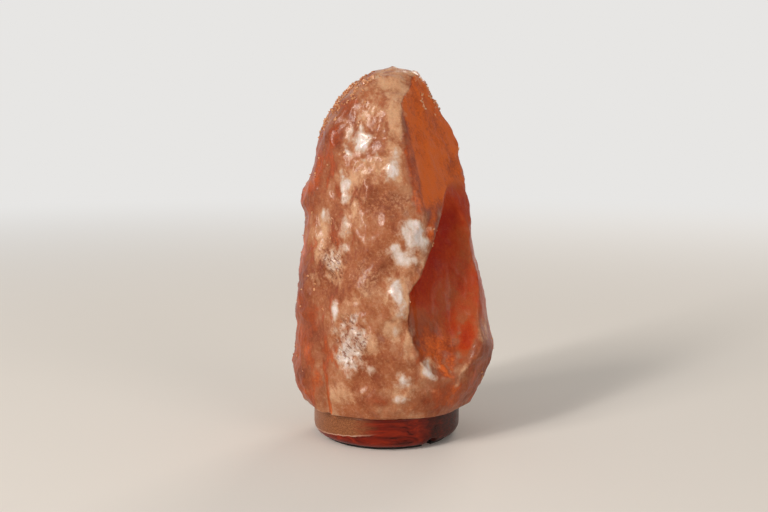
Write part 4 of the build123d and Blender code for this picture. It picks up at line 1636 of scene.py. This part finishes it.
    def _hidden_side(self) -> list[Patch]:
        """Seeded patches for the back, which is like the front.

        Returns:
            The patches.
        """
        dice = np.random.default_rng(self.seed)
        frost, cream, speckle, warm = Tint.FROST, Tint.CREAM, Tint.SPECKLE, Tint.WARM
        found = []
        for tint in (frost, cream, speckle, warm, cream, frost, cream, warm, frost, speckle,
                     cream, frost, warm, cream, frost, warm, cream, frost, speckle, frost):
            x, z = dice.uniform(-50, 50), dice.uniform(45, 260)
            width, height = dice.uniform(7, 17), dice.uniform(11, 27)
            found.append(Patch(tint, x * (1 - z / 420), z, width, height, dice.uniform(0.6, 1.0),
                               dice.uniform(-40, 40), False))
        return found

    def tint(self, block: Item) -> None:
        """Store the tints and the grit on the mesh.

        Args:
            block: The block.
        """
        skin = Skin.of(block)
        spots, normals = skin.spots, skin.normals
        ragged = sample(spots, self.ragged_size, lambda p: noise.fractal(p, 0.8, 2.2, 4))
        broad = sample(spots, self.broad_size, lambda p: noise.fractal(p, 0.9, 2.0, 3))
        front = ease(skin.ahead, -0.05, 0.45)
        back = ease(normals[:, 1], 0.05, 0.5)
        # Painted shade and glow on the side-facing surfaces: they take darker, saturated orange
        # and less frost and cream.
        side_shade_and_glow = ease(np.abs(normals[:, 0]) + 0.25 * broad, 0.52, 0.92)
        totals = {tint: np.zeros(len(spots)) for tint in Tint}
        for patch in [*self.patches, self.striae, self.pitting, *self._hidden_side()]:
            facing = front if patch.front else back
            share = patch.strength * ease(patch.share(skin) + 0.45 * ragged, 0.0, 1.1) * facing
            totals[patch.tint] = np.maximum(totals[patch.tint], share)
        right_top = ease(normals[:, 0] * 0.8 + normals[:, 2] * 0.3, 0.25, 0.6)
        right_top *= ease(skin.z, *self.right_top_foot) * ease(skin.x, *self.right_top_edge)
        clean = self._coloured_face(skin)
        totals[Tint.WARM] = np.maximum.reduce([
            totals[Tint.WARM], 0.8 * right_top, 0.5 * side_shade_and_glow, clean])
        crazing = np.maximum(ease(self.striae.share(skin), 0.1, 0.7),
                             ease(self.pitting.share(skin), 0.1, 0.7))
        totals[Tint.CRAZED] = crazing * front
        # Painted shade in the hollow: the red is darkest next to the ledge's edge.
        hollow = self._hollow(skin) * ease(skin.z, *self.red_foot)
        depth = 0.35 + 0.65 * self._ledge_shade(skin)
        totals[Tint.DEEP] = np.maximum(totals[Tint.DEEP], depth * hollow)
        for quiet in (Tint.FROST, Tint.CREAM):
            totals[quiet] *= (1 - 0.45 * side_shade_and_glow) * (1 - 0.4 * clean) * (1 - 0.9 * hollow)
        for tint, values in totals.items():
            store(block, tint.value, values)
        store(block, "grit", self._grit(skin, ragged))

    def _grit(self, skin: Skin, ragged: np.ndarray) -> np.ndarray:
        """Where small crystals cling: along the crest on both shoulders, and a few elsewhere.

        Args:
            skin: The block's points.
            ragged: A noise at each point.

        Returns:
            One number for each point.
        """
        edge_on = fade(np.abs(skin.normals[:, 1]), 0.35, 0.75)
        left, right = (shoulder.share(skin) for shoulder in self.shoulders)
        crest = (left + right) * edge_on * ease(ragged, -0.3, 0.4)
        rim = ease(np.abs(skin.normals[:, 0]), 0.45, 0.85)
        elsewhere = self.grains_share + self.grains_share_rim * rim
        elsewhere = elsewhere * ease(ragged, 0.1, 0.6) * ease(skin.z, *self.grains_foot)
        return crest + elsewhere * self._hewn_share(skin) * (1 - self._calm(skin))

    def grains(self, block: Item) -> Item:
        """Scatter the clinging crystals over the block.

        Args:
            block: The block, with its grit stored.

        Returns:
            The crystals.
        """
        grains = new_object("salt_grains", block.data.copy())
        grains_tree().run(grains, {
            "Density": self.grain_density, "Smallest": self.grain_small,
            "Largest": self.grain_large, "Seed": self.seed, "Material": finish("grains")})
        return grains

    def dress(self) -> None:
        """Build the block and its crystals, and seat them on the lamp."""
        block = self.build()
        self.tint(block)
        grains = self.grains(block)
        paint(soften(block, self.sharp_angle), "salt")
        seat(block, "lamp", "rock_salt", "salt_crystal")
        seat(grains, "lamp", "rock_salt")


# ------------------------------------------------------------------ the base
@dataclass
class TurnedBase:
    """The turned wooden disc with its ring pad and the screws that hold the salt."""

    voxel: float = 0.9 * MM
    easing: float = 0.5
    smoothing: int = 5
    sharp_angle: float = 60.0
    screw_circle: float = 35.5 * MM
    screw_count: int = 3
    screw_first: float = math.radians(38)
    screw_step: float = math.radians(90)
    head_foot: float = 7.6 * MM
    head_radius: float = 3.9 * MM
    head_height: float = 2.4 * MM
    shank_radius: float = 1.9 * MM
    shank_top: float = 46 * MM
    point: float = 3 * MM
    cross_length: float = 3.6 * MM
    cross_width: float = 0.8 * MM
    cross_depth: float = 1.3 * MM

    def disc(self) -> Item:
        """Make the disc with eased edges from the CAD solid.

        Returns:
            The disc.
        """
        disc = joined_copy("wooden_base", "wooden_disc")
        disc = regrid(disc, self.voxel, self.easing, self.smoothing)
        return paint(soften(disc, self.sharp_angle), "wood")

    def _screw(self) -> Item:
        """Make one screw on the lamp's axis, its crossed recess downward.

        Returns:
            The screw.
        """
        foot, seat_z = self.head_foot, self.head_foot + self.head_height
        rim = self.head_height * 0.45
        outline = [(0.0, foot), (self.head_radius - rim, foot)]
        outline += arc((self.head_radius - rim, foot + rim), rim, -90, 0, 5)
        outline += [(self.head_radius, seat_z), (self.shank_radius, seat_z),
                    (self.shank_radius, self.shank_top - self.point), (0.0, self.shank_top)]
        screw = lathe("screw_pattern", outline, 40)
        for length, width in ((self.cross_length, self.cross_width),
                              (self.cross_width, self.cross_length)):
            tool = new_object("recess_tool")
            sheet = bmesh.new()
            bmesh.ops.create_cube(sheet, size=1.0)
            bmesh.ops.scale(sheet, vec=(length, width, 2 * self.cross_depth), verts=sheet.verts)
            bmesh.ops.translate(sheet, vec=(0, 0, foot), verts=sheet.verts)
            sheet.to_mesh(tool.data)
            sheet.free()
            cut = screw.modifiers.new("recess", "BOOLEAN")
            cut.object = tool
            cut.operation = "DIFFERENCE"
            settle(screw)
            bpy.data.objects.remove(tool)
        return soften(screw, 35)

    def screws(self) -> Item:
        """Repeat the screw at its three places.

        Returns:
            The screws, as one object.
        """
        pattern = self._screw()
        screws = new_object("mounting_screws")
        fastener_tree().run(screws, {
            "Fastener": pattern, "Count": self.screw_count, "Circle Radius": self.screw_circle,
            "First Angle": self.screw_first, "Angle Step": self.screw_step,
            "Material": finish("zinc")})
        bpy.data.objects.remove(pattern)
        return screws

    def dress(self) -> None:
        """Build the disc and screws, and finish the pad and plugs."""
        seat(self.disc(), "lamp", "turned_wood", "wooden_base")
        seat(self.screws(), "lamp", "zinc_steel", "base_screws")
        dress_copy("base_pad", "ring_pad", "lamp", "rubber_pad", "rubber", 30)
        dress_node("screw_plugs", "plug")


# ------------------------------------------------------------------ the shared screw thread
@dataclass
class RolledThread:
    """The small screw thread: the bulb's cap and the shell follow one helix, so they mesh."""

    pitch: float = 2.822 * MM
    depth: float = 0.38 * MM
    cap_mean: float = 6.52 * MM
    shell_mean: float = 6.80 * MM
    run_out: float = 0.8 * MM
    wall: float = 0.3 * MM
    steps: int = 73

    def sleeve(self, name: str, foot: float, top: float, threaded: tuple[float, float],
               plain_radius: float, mean_radius: float, rows: int, outward: bool,
               metal: str) -> Item:
        """Make one threaded sleeve with its wall.

        Args:
            name: The new object's name.
            foot: Height of its lower end.
            top: Height of its upper end.
            threaded: Heights where the thread starts and ends.
            plain_radius: Radius beside the thread.
            mean_radius: Radius halfway down the thread.
            rows: How many rows of points it has.
            outward: Whether the wall lies outside the threaded face.
            metal: The finish's name.

        Returns:
            The sleeve as plain mesh.
        """
        sleeve = new_object(name)
        thread_tree().run(sleeve, {
            "Foot": foot, "Top": top, "Thread Foot": threaded[0], "Thread Top": threaded[1],
            "Plain Radius": plain_radius, "Mean Radius": mean_radius, "Depth": self.depth,
            "Pitch": self.pitch, "Run Out": self.run_out, "Rows": rows, "Steps": self.steps,
            "Material": finish(metal)})
        sheet = bmesh.new()
        sheet.from_mesh(sleeve.data)
        bmesh.ops.recalc_face_normals(sheet, faces=sheet.faces)
        middle = sheet.faces[len(sheet.faces) // 2]
        centre = middle.calc_center_median()
        if middle.normal.x * centre.x + middle.normal.y * centre.y < 0:
            bmesh.ops.reverse_faces(sheet, faces=sheet.faces)
        sheet.to_mesh(sleeve.data)
        sheet.free()
        wall = sleeve.modifiers.new("wall", "SOLIDIFY")
        wall.thickness = self.wall
        wall.offset = 1.0 if outward else -1.0
        return soften(paint(settle(sleeve), metal), 60)


THREAD = RolledThread()


# ------------------------------------------------------------------ the holder
@dataclass
class ClawHolder:
    """The lampholder on its plate, with the spring claws that grip the bore."""

    shell_foot: float = 35.4 * MM
    shell_top: float = 52.3 * MM
    shell_thread: tuple[float, float] = (37.4 * MM, 51.6 * MM)
    shell_plain: float = 7.2 * MM
    shell_rows: int = 76
    lip_inner: float = 4.8 * MM
    lip_thickness: float = 0.4 * MM
    copies: dict[str, tuple[str, str, str, float]] = field(default_factory=lambda: {
        "holder_plate": ("pressed_plate", "zinc", "zinc_steel", 30),
        "spring_claws": ("claw_spring", "spring", "spring_steel", 30),
        "holder_nipple": ("threaded_nipple", "zinc", "zinc_steel", 30),
        "nipple_nut": ("hexagon_nut", "zinc", "zinc_steel", 25),
        "lock_washer": ("washer", "spring", "spring_steel", 30),
        "cord_bush": ("inlet_bush", "phenolic", "black_plastic", 40),
        "socket_cap": ("holder_cap", "phenolic", "black_plastic", 25),
        "socket_barrel": ("holder_barrel", "phenolic", "black_plastic", 28),
        "contact_block": ("insulating_block", "porcelain", "porcelain", 30),
    })
    kept: dict[str, str] = field(default_factory=lambda: {
        "centre_contact": "brass", "shell_contact": "brass", "contact_rivets": "brass",
        "terminal_clamps": "brass", "terminal_screws": "zinc"})

    def shell(self) -> Item:
        """Make the threaded shell with the lip that is riveted to the block.

        Returns:
            The shell.
        """
        sleeve = THREAD.sleeve("screw_shell_rolled", self.shell_foot, self.shell_top,
                               self.shell_thread, self.shell_plain, THREAD.shell_mean,
                               self.shell_rows, True, "brass")
        outer = self.shell_plain + THREAD.wall
        lip_top = self.shell_foot + self.lip_thickness
        lip = lathe("shell_lip", [(self.lip_inner, self.shell_foot), (outer, self.shell_foot),
                                  (outer, lip_top), (self.lip_inner, lip_top)], ring=True)
        return soften(paint(take_in(sleeve, lip), "brass"), 50)

    def dress(self) -> None:
        """Build the shell, and finish every other piece of the holder."""
        seat(self.shell(), "holder", "plain_brass", "screw_shell")
        for node, (name, look, slot, angle) in self.copies.items():
            dress_copy(node, name, "holder", slot, look, angle)
        for node, look in self.kept.items():
            dress_node(node, look)


# ------------------------------------------------------------------ the bulb
@dataclass
class PygmyBulb:
    """The small bulb: blown glass, rolled cap, solder tip, mount and coiled filament."""

    tip_foot: float = 37.2 * MM
    tip_top: float = 38.4 * MM
    tip_radius: float = 2.4 * MM
    cap_foot: float = 40.2 * MM
    cap_flare: float = 52.6 * MM
    cap_skirt: float = 54.6 * MM
    cap_top: float = 58.2 * MM
    cap_radius: float = 6.9 * MM
    skirt_radius: float = 8.5 * MM
    cap_thread: tuple[float, float] = (42.3 * MM, 52.4 * MM)
    cap_rows: int = 60
    glass_foot: float = 54.65 * MM
    glass_neck: float = 62.45 * MM
    glass_equator: float = 81.45 * MM
    glass_radius: float = 13.0 * MM
    neck_radius: float = 8.15 * MM
    glass_wall: float = 0.7 * MM
    glass_steps: int = 24
    crown_steps: int = 20
    filament_half_span: float = 7.0 * MM
    filament_foot: float = 79.2 * MM
    filament_rise: float = 4.0 * MM
    coil_radius: float = 0.2 * MM
    coil_turns: float = 34.0
    coil_points: int = 340
    wire_radius: float = 0.06 * MM

    def _form(self, inset: float, foot: float) -> list[tuple[float, float]]:
        """The glass's outline, drawn in by part of its wall.

        Args:
            inset: How far it is drawn in.
            foot: The height where it starts.

        Returns:
            Points as (radius, height), from the neck to the crown.
        """
        neck, radius = self.neck_radius - inset, self.glass_radius - inset
        points = [(neck, foot)]
        for step in range(self.glass_steps + 1):
            share = step / self.glass_steps
            swell = (1 - math.cos(math.pi * share)) / 2
            points.append((neck + (radius - neck) * swell,
                           self.glass_neck + (self.glass_equator - self.glass_neck) * share))
        return points + arc((0.0, self.glass_equator), radius, 0, 90, self.crown_steps)[1:]

    def glass(self) -> Item:
        """Blow the glass: one closed wall, open at the neck.

        Returns:
            The glass.
        """
        outer = self._form(0.0, self.glass_foot)
        inner = self._form(self.glass_wall, self.glass_foot)
        outer[-1] = (0.0, outer[-1][1])
        inner[-1] = (0.0, inner[-1][1])
        return paint(lathe("bulb_envelope", inner[::-1] + outer, 96), "glass")

    def cap(self) -> Item:
        """Roll the threaded cap and join the flared skirt to it.

        Returns:
            The cap.
        """
        cap = THREAD.sleeve("bulb_cap_rolled", self.cap_foot, self.cap_flare, self.cap_thread,
                            self.cap_radius, THREAD.cap_mean, self.cap_rows, False, "aluminium")
        neck, rim = self.cap_radius - THREAD.wall, self.skirt_radius - THREAD.wall
        skirt = lathe("cap_skirt", [
            (self.cap_radius, self.cap_flare), (self.skirt_radius, self.cap_skirt),
            (self.skirt_radius, self.cap_top), (rim, self.cap_top), (rim, self.cap_skirt),
            (neck, self.cap_flare)], ring=True)
        return soften(paint(take_in(cap, skirt), "aluminium"), 50)

    def tip(self) -> Item:
        """Make the domed blob of solder.

        Returns:
            The tip.
        """
        dome = self.tip_top - self.tip_foot
        turns = [math.radians(degrees) for degrees in range(0, 91, 10)]
        outline = [(self.tip_radius * math.sin(turn), self.tip_top - dome * math.cos(turn))
                   for turn in turns]
        return paint(lathe("solder_tip", [*outline, (0.0, self.tip_top)], 48), "solder")

    def filament(self) -> Item:
        """Coil the filament along its arch.

        Returns:
            The filament.
        """
        coil = new_object("coiled_filament")
        filament_tree().run(coil, {
            "Half Span": self.filament_half_span, "Foot": self.filament_foot,
            "Rise": self.filament_rise, "Coil Radius": self.coil_radius,
            "Wire Radius": self.wire_radius, "Turns": self.coil_turns,
            "Points": self.coil_points, "Material": finish("tungsten")})
        return soften(coil, 60)

    def dress(self) -> None:
        """Build the bulb and seat it on its two bodies."""
        seat(self.tip(), "bulb_tip", "solder", "cap_contact")
        seat(self.cap(), "bulb", "cap_aluminium", "bulb_cap")
        seat(self.glass(), "bulb", "clear_glass", "bulb_glass")
        seat(self.filament(), "bulb", "tungsten", "filament")
        dress_copy("cap_insulator", "insulating_cone", "bulb", "black_glass", "black_glass", 35)
        dress_copy("glass_mount", "glass_stem", "bulb", "clear_glass", "glass", 35)
        dress_node("lead_wires", "spring")
        dress_node("filament_supports", "tungsten")


# ------------------------------------------------------------------ the studio
@dataclass(frozen=True)
class SoftLamp:
    """One rectangular lamp aimed at the middle of the salt; in metres and watts."""

    name: str
    place: tuple[float, float, float]
    power: float
    width: float
    height: float
    colour: str
    aim: tuple[float, float, float] = (0.0, 0.0, 0.14)

    def hang(self) -> None:
        """Put the lamp into the scene."""
        light = bpy.data.lights.new(self.name, "AREA")
        light.shape = "RECTANGLE"
        light.energy = self.power
        light.size = self.width
        light.size_y = self.height
        light.color = tone(self.colour)[:3]
        item = bpy.data.objects.new(self.name, light)
        item.location = self.place
        way = Vector(self.aim) - Vector(self.place)
        item.rotation_euler = way.to_track_quat("-Z", "Y").to_euler()
        bpy.context.scene.collection.objects.link(item)


@dataclass
class Studio:
    """A pale floor, soft lamps and the camera at the photograph's angle."""

    floor_reach: float = 8.0
    floor_opening: float = 44 * MM
    floor_steps: int = 48
    floor_colour: str = "#F0EEEA"
    floor_pale: str = "#FFFFFF"
    floor_fade: tuple[float, float] = (0.3, 2.6)
    background: Colour = (0.80, 0.79, 0.775, 1.0)
    sky_colour: Colour = (1.0, 0.98, 0.95, 1.0)
    sky_strength: float = 0.30
    camera_place: tuple[float, float, float] = (-0.0021, -0.849, 0.256)
    camera_pitch: float = 82.5
    lens: float = 50.0
    sensor: float = 36.0
    lamps: tuple[SoftLamp, ...] = (
        SoftLamp("key_lamp", (-2.1, -1.9, 2.0), 45.0, 1.1, 1.1, "#FFF3E6"),
        SoftLamp("strip_lamp", (-1.95, -2.15, 1.15), 33.0, 0.22, 1.9, "#FFF7F0"),
        SoftLamp("fill_lamp", (2.2, -2.5, 1.3), 21.0, 1.7, 1.7, "#FFEFE0"),
        SoftLamp("rim_lamp", (1.1, 2.6, 1.8), 24.0, 1.3, 1.3, "#FFF0E0"))

    def _floor(self) -> None:
        """Lay the floor: pale, open under the base and unseen from below."""
        mesh = bpy.data.meshes.new("studio_floor")
        count = self.floor_steps
        verts = [(radius * math.cos(2 * math.pi * step / count),
                  radius * math.sin(2 * math.pi * step / count), 0.0)
                 for radius in (self.floor_opening, self.floor_reach) for step in range(count)]
        mesh.from_pydata(verts, [], [(step, step + count, (step + 1) % count + count,
                                      (step + 1) % count) for step in range(count)])
        floor = new_object("studio_floor", mesh)
        material, sheet = blank_material("studio_floor_paper")
        at = sheet.place()
        cloud = sheet.noise(at, 3.0, 3.0)
        matte = sheet.get("ShaderNodeBsdfDiffuse", {
            "Color": sheet.mix(sheet.times(cloud, 0.06), tone(self.floor_colour),
                               tone(self.floor_pale))})
        far = sheet.get("ShaderNodeEmission", {"Color": self.background})
        distance = sheet.add("ShaderNodeVectorMath", {0: at}, operation="LENGTH").outputs["Value"]
        shown = sheet.get("ShaderNodeMixShader", {0: sheet.span(distance, *self.floor_fade),
                                                  1: matte, 2: far})
        clear = sheet.get("ShaderNodeBsdfTransparent")
        below = sheet.add("ShaderNodeNewGeometry").outputs["Backfacing"]
        whole = sheet.get("ShaderNodeMixShader", {0: below, 1: shown, 2: clear})
        sheet.add("ShaderNodeOutputMaterial", {"Surface": whole})
        mesh.materials.append(material)

    def _sky(self) -> None:
        """Light from all round, seen as a plain pale background."""
        world = bpy.data.worlds.new("studio_sky")
        bpy.context.scene.world = world
        world.use_nodes = True
        world.node_tree.nodes.clear()
        sheet = NodeSheet(world.node_tree)
        rays = sheet.add("ShaderNodeLightPath").outputs
        seen = sheet.work("MAXIMUM", rays["Is Camera Ray"], sheet.work(
            "MAXIMUM", rays["Is Glossy Ray"], rays["Is Transmission Ray"]))
        lit = sheet.get("ShaderNodeBackground", {"Color": self.sky_colour,
                                                 "Strength": self.sky_strength})
        plain = sheet.get("ShaderNodeBackground", {"Color": self.background, "Strength": 1.0})
        mixed = sheet.get("ShaderNodeMixShader", {0: seen, 1: lit, 2: plain})
        sheet.add("ShaderNodeOutputWorld", {"Surface": mixed})

    def build(self) -> None:
        """Set up the floor, the lamps, the sky and the camera."""
        self._floor()
        self._sky()
        for lamp in self.lamps:
            lamp.hang()
        camera = bpy.data.objects.new("camera", bpy.data.cameras.new("camera"))
        camera.data.lens = self.lens
        camera.data.sensor_width = self.sensor
        camera.location = self.camera_place
        camera.rotation_euler = (math.radians(self.camera_pitch), 0.0, 0.0)
        bpy.context.scene.collection.objects.link(camera)
        bpy.context.scene.camera = camera
        bpy.context.scene.view_settings.view_transform = "Standard"
        log.info("studio set up")


def main() -> None:
    """Build the studio and the lamp's sub-assemblies in order."""
    logging.basicConfig(level=logging.INFO, format="%(message)s")
    Studio().build()
    CrystalBlock().dress()
    TurnedBase().dress()
    ClawHolder().dress()
    PygmyBulb().dress()


if __name__ == "__main__":
    main()
